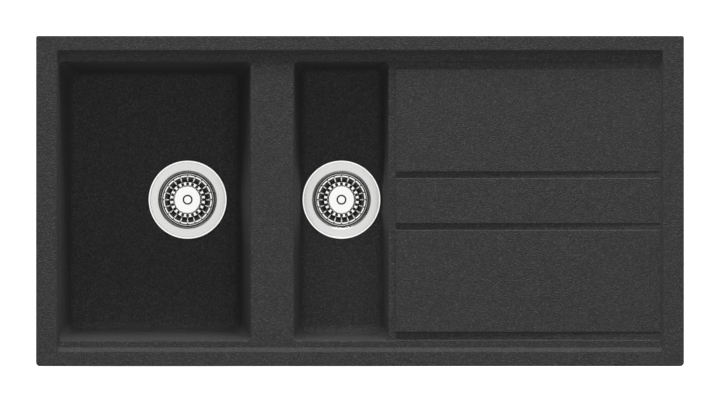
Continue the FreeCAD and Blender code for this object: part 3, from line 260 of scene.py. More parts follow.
def plated(name, hex_text, roughness, spangle, depth):
    """Zinc on steel, or turned brass: a metal with cloudy patches and fine pits."""
    material, tree, shader = new_material(name)
    place = add(tree, "ShaderNodeTexCoord").outputs["Object"]
    base = linear(hex_text)
    cells = add(tree, "ShaderNodeTexVoronoi", {"Vector": place, "Scale": 1.0 / spangle})
    patch = add(tree, "ShaderNodeSeparateColor", {"Color": cells.outputs["Color"]}).outputs["Red"]
    spangles = add(tree, "ShaderNodeValToRGB", {"Fac": patch}, stops=[
        (0.0, shade(base, 0.86)), (1.0, base)])
    tree.links.new(spangles.outputs[0], shader.inputs["Base Color"])
    shader.inputs["Metallic"].default_value = 1.0
    clouds = add(tree, "ShaderNodeTexNoise", {
        "Vector": place, "Scale": 1 / (2 * spangle), "Detail": 4.0})
    dull = add(tree, "ShaderNodeValToRGB", {"Fac": clouds.outputs["Fac"]}, stops=[
        (0.3, roughness * 0.8), (0.7, roughness * 1.25)])
    tree.links.new(dull.outputs[0], shader.inputs["Roughness"])
    pits = add(tree, "ShaderNodeTexNoise", {"Vector": place, "Scale": 1 / (0.3 * MM), "Detail": 3.0})
    bump = add(tree, "ShaderNodeBump", {
        "Height": pits.outputs["Fac"], "Strength": depth, "Distance": 0.1 * MM})
    tree.links.new(bump.outputs[0], shader.inputs["Normal"])
    return material


def moulded(name, hex_text, roughness, texture, depth, ior):
    """Plastic or rubber from a mould: one colour, with the mould's fine texture and a dusty bloom."""
    material, tree, shader = new_material(name)
    place = add(tree, "ShaderNodeTexCoord").outputs["Object"]
    base = linear(hex_text)
    bloom = add(tree, "ShaderNodeTexNoise", {
        "Vector": place, "Scale": 1 / (14 * MM), "Detail": 4.0}).outputs["Fac"]
    tint = add(tree, "ShaderNodeValToRGB", {"Fac": bloom}, stops=[
        (0.3, base), (0.75, shade(base, 1.5))])
    tree.links.new(tint.outputs[0], shader.inputs["Base Color"])
    dust = add(tree, "ShaderNodeValToRGB", {"Fac": bloom}, stops=[
        (0.3, roughness), (0.75, min(1.0, roughness + 0.12))])
    tree.links.new(dust.outputs[0], shader.inputs["Roughness"])
    shader.inputs["IOR"].default_value = ior
    grain = add(tree, "ShaderNodeTexNoise", {"Vector": place, "Scale": 1 / texture, "Detail": 3.0})
    bump = add(tree, "ShaderNodeBump", {
        "Height": grain.outputs["Fac"], "Strength": depth, "Distance": 0.2 * MM})
    tree.links.new(bump.outputs[0], shader.inputs["Normal"])
    return material


def finish(name):
    """Material by its short name, made once."""
    finishes = bpy.context.scene.sink_finishes
    makers = {
        "composite": lambda: granite_composite(finishes),
        # Belt-ground flange and cup: satin, with soft circular streaks.
        "satin": lambda: stainless("stainless_steel_satin_turned", finishes.stainless, 0.30, 1.0),
        # Buffed rolled rim and knob: mirror-like, and drawn lighter than the satin flange as a painted reflection.
        "polished": lambda: stainless(
            "stainless_steel_polished", finishes.stainless, 0.07, 0.3, PAINTED_REFLECTION_GAIN),
        # Pressed basket: shiny from the die, slightly uneven, and drawn lighter than satin steel as a painted
        # reflection.
        "bright": lambda: stainless(
            "stainless_steel_bright_pressed", finishes.stainless, 0.16, 0.6, PAINTED_REFLECTION_GAIN),
        # Inside of the cup and the slope round each knob's top: steel drawn dark as painted shade, standing in for
        # the shade deep in the cup and round the knob's head.
        "drawn": lambda: stainless("stainless_steel_painted_shade", finishes.painted_shade_steel, 0.38, 1.0),
        # Seals and gaskets: matt black, a little dusty.
        "rubber": lambda: moulded(
            "epdm_rubber_moulded", finishes.rubber, 0.72, 0.8 * MM, 0.25, 1.52),
        # Sealing strip: dull and open-grained, with no shine.
        "foam": lambda: moulded(
            "closed_cell_foam_strip", finishes.rubber, 0.92, 1.2 * MM, 0.8, 1.45),
        # Waste bodies: smooth dark plastic with a soft sheen.
        "plastic": lambda: moulded(
            "polypropylene_moulded", finishes.plastic, 0.42, 0.5 * MM, 0.12, 1.49),
        # Inserts and nuts: warm yellow, turned and slightly dulled.
        "brass": lambda: plated("brass_turned", finishes.brass, 0.28, 6 * MM, 0.1),
        # Screws and washers: pale blue-grey plating.
        "zinc": lambda: plated("zinc_plated_steel", finishes.zinc, 0.34, 5 * MM, 0.15),
        # Claws: duller sheet with larger spangles.
        "galvanised": lambda: plated("galvanised_steel_sheet", finishes.zinc, 0.42, 9 * MM, 0.2),
    }
    if name not in FINISHES:
        FINISHES[name] = makers[name]()
    return FINISHES[name]


FINISHES = {}
# Painted reflection: polished and pressed steel are drawn lighter than satin steel, standing in for their brighter
# reflection.
PAINTED_REFLECTION_GAIN = 1.22  # how much lighter polished steel is than satin steel


def dress(node, name):
    """Give a CAD node its material, and leave its mesh alone."""
    mesh = NODES[node].data
    mesh.materials.clear()
    mesh.materials.append(finish(name))


# ---------------------------------------------------------------- shapes

def rounded(corners, steps=5):
    """Profile of (radius, height) points from corners of (radius, height, rounding) in millimetres."""
    points = [Vector((r, z)) for r, z, _ in corners]
    smooth = []
    for index, (_, _, rounding) in enumerate(corners):
        here = points[index]
        if rounding <= 0:
            smooth.append(here)
            continue
        before = points[index - 1] - here
        after = points[(index + 1) % len(points)] - here
        half = before.angle(after) / 2
        reach = min(rounding / math.tan(half), 0.48 * before.length, 0.48 * after.length)
        radius = reach * math.tan(half)
        start, stop = here + before.normalized() * reach, here + after.normalized() * reach
        bisector = (before.normalized() + after.normalized()).normalized()
        middle = here + bisector * (radius / math.sin(half))
        first, last = start - middle, stop - middle
        turn = first.angle_signed(last)
        for step in range(steps + 1):
            share = -turn * step / steps
            smooth.append(middle + Vector((
                first.x * math.cos(share) - first.y * math.sin(share),
                first.x * math.sin(share) + first.y * math.cos(share),
            )))
    return [(point.x * MM, point.y * MM) for point in smooth]


def lathe(name, profile, centre, materials, choose=None, steps=144, closed=True):
    """Mesh object turned about a vertical axis. Its UV map "turned" runs round, then along the profile.

    choose(radius, height) picks the material's place in the list for each band.
    """
    mesh = bmesh.new()
    layer = mesh.loops.layers.uv.new("turned")
    rings = []
    for radius, height in profile:
        if radius < 1e-7:
            rings.append([mesh.verts.new((0, 0, height))])
            continue
        rings.append([
            mesh.verts.new((radius * math.cos(angle), radius * math.sin(angle), height))
            for angle in (2 * math.pi * step / steps for step in range(steps))
        ])
    lengths = [0.0]
    for (r0, z0), (r1, z1) in zip(profile, profile[1:] + profile[:1]):
        lengths.append(lengths[-1] + math.hypot(r1 - r0, z1 - z0))
    bands = len(profile) if closed else len(profile) - 1
    for band in range(bands):
        low, high = rings[band], rings[(band + 1) % len(rings)]
        if len(low) == 1 and len(high) == 1:
            continue
        r0, z0 = profile[band]
        r1, z1 = profile[(band + 1) % len(profile)]
        mean = (r0 + r1) / 2
        for step in range(steps):
            following = (step + 1) % steps
            corners = [
                (low, step, band), (low, following, band),
                (high, following, band + 1), (high, step, band + 1),
            ]
            ring_corners, seen = [], []
            for ring, place, row in corners:
                vert = ring[0] if len(ring) == 1 else ring[place]
                if vert not in seen:
                    seen.append(vert)
                    around = step + 1 if place == following else step
                    ring_corners.append((around * 2 * math.pi / steps * mean, lengths[row]))
            face = mesh.faces.new(seen)
            face.smooth = True
            face.material_index = choose(mean, (z0 + z1) / 2) if choose else 0
            for loop, uv in zip(face.loops, ring_corners):
                loop[layer].uv = uv
    bmesh.ops.recalc_face_normals(mesh, faces=mesh.faces)
    return settle(name, mesh, centre, materials)


def link(name, data):
    """Put a mesh, lamp or camera into the scene as an object."""
    made = bpy.data.objects.new(name, data)
    bpy.context.scene.collection.objects.link(made)
    return made


def to_object(name, mesh, materials=()):
    """Object from a bmesh, which is freed."""
    data = bpy.data.meshes.new(name)
    mesh.to_mesh(data)
    mesh.free()
    for material in materials:
        data.materials.append(material)
    return link(name, data)


def settle(name, mesh, centre, materials):
    """Object at the origin from a bmesh moved to its centre, with its sharp edges kept sharp."""
    bmesh.ops.translate(mesh, verts=mesh.verts, vec=centre)
    made = to_object(name, mesh, [finish(material) for material in materials])
    made.data.set_sharp_from_angle(angle=SHARP_EDGE)
    return made


def change(piece, kind, sharp=SHARP_EDGE, **settings):
    """Change a piece's mesh by one modifier, and leave no modifier on it."""
    modifier = piece.modifiers.new("change", kind)
    for key, value in settings.items():
        setattr(modifier, key, value)
    graph = bpy.context.evaluated_depsgraph_get()
    piece.data = bpy.data.meshes.new_from_object(piece.evaluated_get(graph))
    piece.modifiers.remove(modifier)
    piece.data.set_sharp_from_angle(angle=sharp)


def cut_away(piece, mesh):
    """Cut a bmesh's shape out of a piece."""
    tool = to_object("tool", mesh)
    change(piece, "BOOLEAN", operation="DIFFERENCE", solver="EXACT", object=tool)
    bpy.data.objects.remove(tool)


def merge(name, parts, centre=(0, 0, 0)):
    """One mesh object from several, with their material slots joined, moved to a centre."""
    mesh = bmesh.new()
    materials = []
    for part in parts:
        start = len(mesh.faces)
        mesh.from_mesh(part.data)
        mesh.faces.ensure_lookup_table()
        for face in mesh.faces[start:]:
            material = part.data.materials[face.material_index]
            if material not in materials:
                materials.append(material)
            face.material_index = materials.index(material)
    bmesh.ops.translate(mesh, verts=mesh.verts, vec=centre)
    for part in parts:
        bpy.data.objects.remove(part)
    return to_object(name, mesh, materials)


def new_tree(name, sockets):
    """Geometry node tree with a geometry input, named size inputs and a geometry output."""
    tree = bpy.data.node_groups.new(name, "GeometryNodeTree")
    tree.interface.new_socket("Geometry", in_out="INPUT", socket_type="NodeSocketGeometry")
    for label, kind in sockets:
        tree.interface.new_socket(label, in_out="INPUT", socket_type=kind)
    tree.interface.new_socket("Geometry", in_out="OUTPUT", socket_type="NodeSocketGeometry")
    return tree, add(tree, "NodeGroupInput").outputs


def run_tree(carrier, tree, values):
    """Run a tree on an object and return the result as a plain mesh. The modifier is removed."""
    modifier = carrier.modifiers.new("build", "NODES")
    modifier.node_group = tree
    for item in tree.interface.items_tree:
        if item.in_out == "INPUT" and item.name in values:
            modifier[item.identifier] = values[item.name]
    graph = bpy.context.evaluated_depsgraph_get()
    graph.update()
    mesh = bpy.data.meshes.new_from_object(carrier.evaluated_get(graph))
    carrier.modifiers.remove(modifier)
    return mesh


def close_tree(tree, geometry, material):
    """End a tree in Realize Instances and Set Material."""
    real = add(tree, "GeometryNodeRealizeInstances", {0: geometry}).outputs[0]
    dressed = add(tree, "GeometryNodeSetMaterial", {"Geometry": real, "Material": material}).outputs[0]
    add(tree, "NodeGroupOutput", {0: dressed})


def ring_tree(material):
    """Repeat a sector round Z: the bars, windows and holes of a basket."""
    tree, group = new_tree("repeat_round", [("Count", "NodeSocketInt"), ("Weld", "NodeSocketFloat")])
    step = add(tree, "ShaderNodeMath", {0: 2 * math.pi, 1: group["Count"]}, operation="DIVIDE").outputs[0]
    index = add(tree, "GeometryNodeInputIndex").outputs[0]
    angle = add(tree, "ShaderNodeMath", {0: index, 1: step}, operation="MULTIPLY").outputs[0]
    turn = add(tree, "ShaderNodeCombineXYZ", {"Z": angle}).outputs[0]
    points = add(tree, "GeometryNodePoints", {"Count": group["Count"]}).outputs[0]
    copies = add(tree, "GeometryNodeInstanceOnPoints", {
        "Points": points, "Instance": group["Geometry"], "Rotation": turn,
    }).outputs[0]
    real = add(tree, "GeometryNodeRealizeInstances", {0: copies}).outputs[0]
    welded = add(tree, "GeometryNodeMergeByDistance", {
        "Geometry": real, "Distance": group["Weld"]}).outputs[0]
    close_tree(tree, welded, material)
    return tree


def helix_tree(material):
    """Screw thread: a V-shaped ridge swept along a helix."""
    tree, group = new_tree("screw_thread", [
        ("Radius", "NodeSocketFloat"), ("Pitch", "NodeSocketFloat"), ("Turns", "NodeSocketFloat"),
        ("Depth", "NodeSocketFloat"),
    ])
    height = add(tree, "ShaderNodeMath", {0: group["Pitch"], 1: group["Turns"]},
                 operation="MULTIPLY").outputs[0]
    path = add(tree, "GeometryNodeCurveSpiral", {
        "Resolution": 28, "Rotations": group["Turns"], "Start Radius": group["Radius"],
        "End Radius": group["Radius"], "Height": height,
    }).outputs[0]
    upright = add(tree, "GeometryNodeSetCurveNormal", {0: path}, mode="Z_UP").outputs[0]
    ridge = add(tree, "GeometryNodeCurvePrimitiveCircle", {
        "Resolution": 4, "Radius": group["Depth"]}).outputs[0]
    swept = add(tree, "GeometryNodeCurveToMesh", {
        "Curve": upright, "Profile Curve": ridge, "Fill Caps": True}).outputs[0]
    close_tree(tree, swept, material)
    return tree


def stand_tree(material):
    """Copies of a master piece at the points of the carrier mesh."""
    tree, group = new_tree("stand_at_points", [("Master", "NodeSocketObject")])
    master = add(tree, "GeometryNodeObjectInfo", {"Object": group["Master"]}).outputs["Geometry"]
    points = add(tree, "GeometryNodeMeshToPoints", {"Mesh": group["Geometry"]}).outputs[0]
    copies = add(tree, "GeometryNodeInstanceOnPoints", {"Points": points, "Instance": master}).outputs[0]
    close_tree(tree, copies, material)
    return tree


def helix(name, material, radius, pitch, turns, depth, foot):
    """Thread ridge as an object, starting at a height."""
    carrier = link(name, bpy.data.meshes.new(name))
    tree = helix_tree(finish(material))
    carrier.data = run_tree(carrier, tree, {
        "Radius": radius * MM, "Pitch": pitch * MM, "Turns": float(turns), "Depth": depth * MM,
    })
    carrier.data.transform(Matrix.Translation((0, 0, foot * MM)))
    return carrier


def seat_of(bowl):
    """Centre of a bowl's flange seat."""
    x, y, _ = MOUNTS[f"{bowl}_waste_outlet"]["pos_m"]
    return Vector((x, y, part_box(f"{bowl}_flange_gasket")[0].z))


# Levels of a strainer above its seat, in millimetres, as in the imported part.
FLANGE_TOP = 2.7
RIM_TOP = 3.9
SEAL_SEAT = -25.3
WELL_FLOOR = -37.3
BASKET_FLOOR = -19.8
BASKET_TOP = -3.8
DOME_TOP = -15.6
WASTE_TOP = -12.0
HUB_TOP = -41.5
HUB_FOOT = -52.5
OUTLET_TOP = -65.5
OUTLET_END = -90.5

# Radii of a strainer and its waste, in millimetres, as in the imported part.
RIM_BEAD = 3.4  # width of the rolled rim on the flange
CUP_MOUTH = 42.4
CUP_FOOT = 40.7
WELL = 24.5
SCREW_HOLE = 3.3
HOLE_CIRCLE = 16.25
DRAIN_HOLE = 3.2
CHAMBER_BORE = 46.0
CHAMBER = 49.5
WASTE_FLANGE = 57.0
OUTLET_BORE = 20.0
OUTLET = 22.4
OUTLET_COLLAR = 23.9
HUB = 9.5
NUT_POCKET = 5.5


# ---------------------------------------------------------------- operators

class SINK_OT_moulding(bpy.types.Operator):
    """Finish of the moulding"""

    bl_idname = "sink.moulding"
    bl_label = "Moulding"

    def execute(self, context):
        dress("sink_body", "composite")
        dress("sealing_strip", "foam")
        return {"FINISHED"}


class SINK_OT_strainer_cups(bpy.types.Operator):
    """Flange and cup of each strainer, turned from the pressed section"""

    bl_idname = "sink.strainer_cups"
    bl_label = "Strainer cups"

    def execute(self, context):
        sizes = context.scene.sink_strainer
        t = sizes.sheet / MM
        edge = sizes.flange_radius / MM
        profile = rounded([
            (SCREW_HOLE, WELL_FLOOR, 0), (WELL, WELL_FLOOR, 1.8), (WELL, SEAL_SEAT, 1.2),
            (CUP_FOOT, SEAL_SEAT, 2.4), (CUP_MOUTH, FLANGE_TOP, 5.2), (edge - 3.7, FLANGE_TOP, 0.2),
            (edge - RIM_BEAD, FLANGE_TOP - 0.4, 0), (edge - 2.7, RIM_TOP - 0.05, 0.2),
            (edge - 2.3, RIM_TOP, 0.3), (edge, RIM_TOP, 0.6),
            (edge, 0.6, 0.3), (edge - t, 0.6, 0.3), (edge - t, 1.5, 0.6),
            (CUP_MOUTH + t, 1.5, 3.4), (CUP_FOOT + t, SEAL_SEAT - t, 2.4), (WELL + t, SEAL_SEAT - t, 1.2),
            (WELL + t, WELL_FLOOR - t, 2.4), (SCREW_HOLE, WELL_FLOOR - t, 0),
        ], steps=7)
        for bowl in BOWLS:
            # The dark steel, the third material, is painted shade inside the cup.
            cup = lathe(
                f"{bowl}_strainer_cup_turned", profile, seat_of(bowl), ["satin", "polished", "drawn"],
                choose=lambda radius, height: cup_finish(radius / MM, height / MM, edge), steps=192,
            )
            cut_well_holes(cup, seat_of(bowl), sizes.well_holes)
            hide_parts(f"{bowl}_strainer_cup")
            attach(cup, "sink")
        return {"FINISHED"}


def cup_finish(radius, height, edge):
    """Polished rim and satin flange; below the flange the cup gets the dark steel, as painted shade deep in the
    cup.
    """
    if radius > edge - RIM_BEAD and height > 0.5:
        return 1
    return 2 if height < -0.6 else 0


def cut_well_holes(cup, centre, count):
    """Drill the ring of drain holes through the foot of a cup."""
    drill = bmesh.new()
    for hole in range(count):
        angle = 2 * math.pi * hole / count
        place = Matrix.Translation(centre + Vector((
            HOLE_CIRCLE * MM * math.cos(angle), HOLE_CIRCLE * MM * math.sin(angle), WELL_FLOOR * MM)))
        bmesh.ops.create_cone(
            drill, cap_ends=True, segments=28, radius1=DRAIN_HOLE * MM, radius2=DRAIN_HOLE * MM,
            depth=6 * MM, matrix=place)
    cut_away(cup, drill)


class SINK_OT_baskets(bpy.types.Operator):
    """Lift-out baskets: one pressed sector with its bar, windows and hole, repeated round"""

    bl_idname = "sink.baskets"
    bl_label = "Baskets"

    def execute(self, context):
        sizes = context.scene.sink_strainer
        tree = ring_tree(finish("bright"))
        for bowl in BOWLS:
            sector = basket_sector(f"{bowl}_basket_pressed", sizes)
            sector.data = run_tree(sector, tree, {"Count": sizes.bars, "Weld": 0.02 * MM})
            # The skin gets its thickness on the underside. A basket is pressed from thinner sheet.
            change(sector, "SOLIDIFY", sharp=BASKET_SHARP_EDGE, thickness=sizes.sheet * 0.8, offset=-1.0,
                   use_even_offset=True)
            sector.data.transform(Matrix.Translation(seat_of(bowl)))
            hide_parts(f"{bowl}_basket")
            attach(sector, f"{bowl}_basket_set")
        return {"FINISHED"}


def basket_sector(name, sizes):
    """One sector of the basket's upper skin, centred on a bar, with half a window each side.

    Rows follow the section from the stem out over the disc, the floor and the leaning wall to the
    rim. Each row has four lines of points each side of the bar: the middle of a window, half way,
    the window's edge, and the edge of a notch or drip hole in the bar's line.
    """
    half = math.pi / sizes.bars
    bar = half - sizes.window / 2
    mesh = bmesh.new()
    layer = mesh.loops.layers.uv.new("turned")
    grid, angles, lengths, travelled = [], [], [], 0.0
    rows = basket_rows()
    for index, (radius, height, _, slot, taper) in enumerate(rows):
        if index:
            travelled += math.hypot(radius - rows[index - 1][0], height - rows[index - 1][1]) * MM
        lengths.append(travelled)
        side = [slot / radius, bar + taper / radius, (bar + half) / 2, half]
        side[1] = max(side[1], side[0] * 1.15)
        side[2] = max(side[2], (side[1] + half) / 2)
        angles.append([-angle for angle in side[::-1]] + side)
        grid.append([
            mesh.verts.new((radius * MM * math.sin(angle), radius * MM * math.cos(angle), height * MM))
            for angle in angles[-1]
        ])
    columns = len(angles[0])
    for row in range(len(rows) - 1):
        kind = rows[row + 1][2]
        for column in range(columns - 1):
            is_slot = column == columns // 2 - 1
            if kind == "window" and not 2 <= column <= columns - 4:
                continue
            if kind == "slot" and is_slot:
                continue
            corners = [(row, column), (row, column + 1), (row + 1, column + 1), (row + 1, column)]
            face = mesh.faces.new([grid[r][c] for r, c in corners])
            face.smooth = True
            for loop, (r, c) in zip(face.loops, corners):
                loop[layer].uv = (angles[r][c] * rows[r][0] * MM, lengths[r])
    mesh.normal_update()
    return to_object(name, mesh, [finish("bright")])


def basket_rows():
    """Section of the basket's upper skin, in millimetres from the seat.

    Each row has its radius and height, what is cut out before it, half the width of a notch or
    hole there, and how far a window's corner is rounded in.
    """
    plain = 0.5
    rows = [(3.6, DOME_TOP, "skin", 0.1, 0.0)]
    for radius, drop in (
            (8.0, 0.1), (14.0, 0.3), (19.0, 0.6), (20.6, 0.9), (21.5, 1.6), (21.9, 2.6), (22.1, 3.6)):
        rows.append((radius, DOME_TOP - drop, "skin", plain * radius / 22, 0.0))
    rows.append((22.5, BASKET_FLOOR, "skin", 0.8, 0.0))
    for radius, width in ((22.8, 2.0), (24.6, 2.3), (26.3, 2.0), (26.6, 1.2)):
        rows.append((radius, BASKET_FLOOR, "slot", width, 0.0))
    rows.append((26.7, BASKET_FLOOR + 0.1, "skin", plain, 0.0))
    rows.append((27.0, BASKET_FLOOR + 0.4, "skin", plain, 0.9))
    lean = (36.4 - 26.8) / (BASKET_TOP - BASKET_FLOOR)
    for height, taper in (
            (0.8, 0.3), (1.6, 0.0), (6.0, 0.0), (10.0, 0.0), (12.6, 0.0), (13.3, 0.3), (13.6, 0.9)):
        rows.append((26.8 + lean * height, BASKET_FLOOR + height, "window", plain, taper))
    rows.append((35.1, BASKET_TOP - 1.7, "skin", 0.8, 0.0))
    for radius, drop in ((35.3, 0.7), (35.6, 0.1), (37.4, 0.1), (37.8, 0.5), (38.4, 1.2)):
        rows.append((radius, BASKET_TOP - drop, "slot", 1.1, 0.0))
    for radius, drop in ((38.9, 1.8), (39.3, 1.9), (39.7, 1.6), (40.1, 1.7), (40.2, 2.4)):
        rows.append((radius, BASKET_TOP - drop, "skin", plain, 0.0))
    return rows


class SINK_OT_knobs(bpy.types.Operator):
    """Turned buttons in the middle of the baskets, polished, with a ring of painted shade on the slope round the
    top
    """

    bl_idname = "sink.knobs"
    bl_label = "Basket knobs"

    def execute(self, context):
        profile = rounded([
            (2.55, DOME_TOP + 0.02, 0), (4.9, DOME_TOP + 0.02, 0.5), (4.4, DOME_TOP + 3.5, 1.5),
            (5.2, DOME_TOP + 6.0, 1.0), (7.7, DOME_TOP + 6.9, 0.5), (7.7, DOME_TOP + 7.6, 0.2),
            (5.4, DOME_TOP + 10.8, 0.2),
            (3.0, DOME_TOP + 11.0, 2.0), (0, DOME_TOP + 11.0, 0),
            (0, DOME_TOP + 6.0, 0), (2.55, DOME_TOP + 6.0, 0),
        ], steps=4)
        for bowl in BOWLS:
            # The dark steel on the slope round the top is a painted shade ring round the knob's head.
            knob = lathe(
                f"{bowl}_basket_knob_turned", profile, seat_of(bowl), ["polished", "drawn"],
                choose=knob_finish, steps=72)
            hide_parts(f"{bowl}_basket_knob")
            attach(knob, f"{bowl}_basket_set")
            dress(f"{bowl}_basket_stem", "zinc")
        return {"FINISHED"}


def knob_finish(radius, height):
    """Polished all over, apart from the slope round the top, which gets the dark steel as painted shade round the
    knob's head.
    """
    return int(radius / MM > 5.5 and height / MM > DOME_TOP + 7.0)


class SINK_OT_waste_bodies(bpy.types.Operator):
    """Plastic waste bodies with their hub and threaded outlet"""

    bl_idname = "sink.waste_bodies"
    bl_label = "Waste bodies"

    def execute(self, context):
        shell = rounded([
            (CHAMBER_BORE, WASTE_TOP, 0.3), (CHAMBER_BORE, HUB_FOOT - 1, 1.0),
            (OUTLET_BORE, OUTLET_TOP, 2.0), (OUTLET_BORE, OUTLET_END, 0.4),
            (OUTLET, OUTLET_END, 0.4), (OUTLET, OUTLET_TOP + 1.0, 0.3),
            (OUTLET_COLLAR, OUTLET_TOP + 1.0, 0.4), (OUTLET_COLLAR, OUTLET_TOP + 2.6, 1.5),
            (CHAMBER, HUB_FOOT - 2, 3.5), (CHAMBER, -34.0, 0.3), (CHAMBER - 0.9, -33.4, 0.3),
            (CHAMBER, -32.8, 0.3), (CHAMBER, WASTE_TOP - 5, 1.7), (WASTE_FLANGE, WASTE_TOP - 5, 0.6),
            (WASTE_FLANGE, WASTE_TOP, 0.5),
        ])
        hub = rounded([
            (SCREW_HOLE, HUB_TOP, 0), (HUB, HUB_TOP, 0.8), (HUB, HUB_FOOT, 0.5),
            (NUT_POCKET, HUB_FOOT, 0.2), (NUT_POCKET, HUB_FOOT + 8, 0), (SCREW_HOLE, HUB_FOOT + 8, 0),
        ], steps=3)
        for bowl in BOWLS:
            parts = [
                lathe("waste_shell", shell, (0, 0, 0), ["plastic"]),
                lathe("waste_hub", hub, (0, 0, 0), ["plastic"], steps=64),
                waste_arms(),
                waste_ribs(),
                helix("waste_thread", "plastic", OUTLET, 2.31, 9.2, 1.4, OUTLET_END + 1.7),
            ]
            body = merge(f"{bowl}_waste_body_moulded", parts, seat_of(bowl))
            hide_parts(f"{bowl}_waste_body")
            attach(body, "sink")
        return {"FINISHED"}


def block(mesh, low, high, turn=0.0):
    """Box between two corners in millimetres, turned about Z."""
    size = Vector(high) - Vector(low)
    middle = (Vector(high) + Vector(low)) / 2
    stretch = Matrix.Diagonal((*(size * MM), 1))
    place = Matrix.Rotation(turn, 4, "Z") @ Matrix.Translation(middle * MM) @ stretch
    bmesh.ops.create_cube(mesh, size=1.0, matrix=place)


def waste_arms():
    """Three arms that carry the hub."""
    mesh = bmesh.new()
    for arm in range(3):
        block(mesh, (8.8, -1.75, HUB_FOOT), (47.0, 1.75, HUB_TOP), 2 * math.pi * arm / 3)
    bmesh.ops.bevel(mesh, geom=mesh.edges[:], offset=0.4 * MM, segments=2, affect="EDGES")
    return settle("waste_arms", mesh, (0, 0, 0), ["plastic"])


def waste_ribs():
    """Webs below the flange, as the mould leaves them."""
    mesh = bmesh.new()
    for rib in range(12):
        block(mesh, (48.8, -0.9, WASTE_TOP - 13.0), (53.5, 0.9, WASTE_TOP - 4.5), 2 * math.pi * rib / 12)
    bmesh.ops.bevel(mesh, geom=mesh.edges[:], offset=0.3 * MM, segments=2, affect="EDGES")
    return settle("waste_ribs", mesh, (0, 0, 0), ["plastic"])


class SINK_OT_small_fittings(bpy.types.Operator):
    """Gaskets, seals, nuts and screws of the wastes"""

    bl_idname = "sink.small_fittings"
    bl_label = "Small fittings"

    def execute(self, context):
        for bowl in BOWLS:
            for node in ("flange_gasket", "waste_gasket", "basket_seal"):
                dress(f"{bowl}_{node}", "rubber")
            dress(f"{bowl}_waste_nut", "brass")
            dress(f"{bowl}_seal_nut", "zinc")
            dress(f"{bowl}_waste_screw", "zinc")
        return {"FINISHED"}


class SINK_OT_clamps(bpy.types.Operator):
    """Screws, inserts, washers and claws under the rim"""

    bl_idname = "sink.clamps"
    bl_label = "Rim clamps"

    def execute(self, context):
        low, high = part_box("clamp_screws")
        foot, top = low.z / MM, high.z / MM
        head, head_height, shank, pitch = 4.75, 3.5, 2.1, 0.8
        profile = rounded([
            (0, foot, 0), (head, foot, 1.2), (head, foot + head_height, 0.3),
            (shank, foot + head_height, 0), (shank, top - 0.8, 0), (1.4, top, 0), (0, top, 0),
        ], steps=4)
        turns = (top - foot - head_height - 3.0) / pitch
        master = merge("clamp_screw_master", [
            lathe("clamp_screw_shank", profile, (0, 0, 0), ["zinc"], steps=40),
            helix("clamp_screw_thread", "zinc", shank, pitch, turns, 0.38, foot + head_height + 1.5),
        ])
        cut_slot(master, foot)
        carrier_mesh = bpy.data.meshes.new("clamp_places")
        carrier_mesh.from_pydata([clamp_place(place) for place in CLAMP_PLACES], [], [])
        screws = link("clamp_screws_turned", carrier_mesh)
        screws.data = run_tree(screws, stand_tree(finish("zinc")), {"Master": master})
        bpy.data.objects.remove(master)
        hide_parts("clamp_screws")
        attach(screws, "sink")
        dress("clamp_inserts", "brass")
        dress("clamp_washers", "zinc")
        for place in CLAMP_PLACES:
            dress(f"clamp_claw_{place}", "galvanised")
        return {"FINISHED"}


def clamp_place(place):
    """Axis of a clamp in plan, from its claw's hinge."""
    for joint in frame["joints"]:
        if joint["name"].startswith(place):
            return (joint["pos_m"][0], joint["pos_m"][1], 0.0)
    raise RuntimeError(f"no hinge belongs to the clamp at {place}")


def cut_slot(screw, foot):
    """Cut the screwdriver slot across a screw's head."""
    mesh = bmesh.new()
    block(mesh, (-6, -0.6, foot - 1), (6, 0.6, foot + 1.6))
    cut_away(screw, mesh)


class SINK_OT_stage(bpy.types.Operator):
    """Floor, lights and the camera that looks straight down"""

    bl_idname = "sink.stage"
    bl_label = "Stage"

    def execute(self, context):
        settings = context.scene.sink_stage
        lay_floor(CAD_BOX[0][2] - 0.001)
        light_scene(settings)
        place_camera(settings, CAD_BOX[1][2])
        return {"FINISHED"}


def lay_floor(height):
    """Wide pale floor. The camera sees it white, apart from the sink's shadow on it."""
    mesh = bmesh.new()
    bmesh.ops.create_grid(
        mesh, x_segments=1, y_segments=1, size=8.0, matrix=Matrix.Translation((0, 0, height)))
    material, tree, shader = new_material("matt_white_paint_floor")
    shader.inputs["Base Color"].default_value = linear("#f2f2f2")
    shader.inputs["Roughness"].default_value = 0.9
    rays = add(tree, "ShaderNodeLightPath").outputs
    seen = add(tree, "ShaderNodeMath", {0: rays["Is Camera Ray"], 1: rays["Is Glossy Ray"]},
               operation="MAXIMUM")
    seen = add(tree, "ShaderNodeMath", {0: seen.outputs[0], 1: rays["Is Transmission Ray"]},
               operation="MAXIMUM")
    lift = add(tree, "ShaderNodeMath", {0: seen.outputs[0], 1: 0.8}, operation="MULTIPLY")
    tree.links.new(lift.outputs[0], shader.inputs["Emission Strength"])
    shader.inputs["Emission Color"].default_value = (1, 1, 1, 1)
    to_object("floor", mesh, [material])


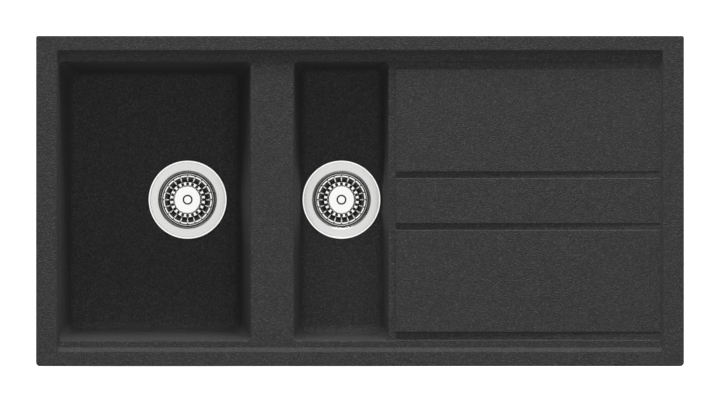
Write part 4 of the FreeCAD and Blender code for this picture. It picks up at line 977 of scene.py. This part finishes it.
def light_scene(settings):
    """Even sky, and a large softbox low behind the sink, as in a product studio."""
    world = bpy.data.worlds.new("studio")
    world.use_nodes = True
    tree = world.node_tree
    tree.nodes.clear()
    rays = add(tree, "ShaderNodeLightPath").outputs
    seen = add(tree, "ShaderNodeMath", {0: rays["Is Camera Ray"], 1: rays["Is Glossy Ray"]},
               operation="MAXIMUM")
    gain = add(tree, "ShaderNodeMath", {0: seen.outputs[0], 1: 1.0 - settings.sky},
               operation="MULTIPLY")
    level = add(tree, "ShaderNodeMath", {0: gain.outputs[0], 1: settings.sky}, operation="ADD")
    sky = add(tree, "ShaderNodeBackground", {"Color": (1, 1, 1, 1), "Strength": level.outputs[0]})
    add(tree, "ShaderNodeOutputWorld", {"Surface": sky.outputs[0]})
    bpy.context.scene.world = world
    add_softbox("rear_softbox", (-0.15, 6.0, 2.0), (3.0, 2.4), settings.rear_lamp)
    top = add_softbox("top_softbox", (0.0, 0.0, 5.0), (2.0, 2.0), settings.top_lamp)
    top.visible_glossy = False  # the polished steel mirrors the white studio, and not this lamp


def add_softbox(name, place, size, power):
    """Rectangular area lamp that faces the middle of the sink."""
    lamp = bpy.data.lights.new(name, "AREA")
    lamp.shape = "RECTANGLE"
    lamp.size, lamp.size_y = size
    lamp.energy = power
    made = link(name, lamp)
    made.location = place
    made.rotation_euler = (-Vector(place)).to_track_quat("-Z", "Y").to_euler()
    made.visible_camera = False
    return made


def place_camera(settings, rim_top):
    """Parallel view straight down, rear at the top, as the photograph shows no perspective."""
    data = bpy.data.cameras.new("camera")
    data.type = "ORTHO"
    data.ortho_scale = settings.frame_width
    camera = link("camera", data)
    camera.location = (0.0, 0.0, rim_top + settings.camera_height)
    bpy.context.scene.camera = camera
    bpy.context.scene.view_settings.view_transform = "Standard"


# ---------------------------------------------------------------- panel and run

OPERATORS = (
    SINK_OT_moulding, SINK_OT_strainer_cups, SINK_OT_baskets, SINK_OT_knobs, SINK_OT_waste_bodies,
    SINK_OT_small_fittings, SINK_OT_clamps, SINK_OT_stage,
)
GROUPS = (
    ("sink_finishes", SINK_PG_finishes),
    ("sink_strainer", SINK_PG_strainer),
    ("sink_stage", SINK_PG_stage),
)


class SINK_PT_panel(bpy.types.Panel):
    """Lists the sizes and finishes, and a button for each group of pieces."""

    bl_idname = "SINK_PT_panel"
    bl_label = "Composite sink"
    bl_space_type = "VIEW_3D"
    bl_region_type = "UI"
    bl_category = "Sink"

    def draw(self, context):
        for attribute, group in GROUPS:
            settings = getattr(context.scene, attribute)
            for field in group.__annotations__:
                self.layout.prop(settings, field)
        for operator in OPERATORS:
            self.layout.operator(operator.bl_idname)


def register():
    for attribute, group in GROUPS:
        bpy.utils.register_class(group)
        setattr(bpy.types.Scene, attribute, bpy.props.PointerProperty(type=group))
    for made in OPERATORS + (SINK_PT_panel,):
        bpy.utils.register_class(made)


def unregister():
    for made in (SINK_PT_panel,) + OPERATORS[::-1]:
        bpy.utils.unregister_class(made)
    for attribute, group in GROUPS[::-1]:
        delattr(bpy.types.Scene, attribute)
        bpy.utils.unregister_class(group)


def main():
    register()
    for operator in OPERATORS:
        getattr(bpy.ops.sink, operator.bl_idname.split(".")[1])()


if __name__ == "__main__":
    main()
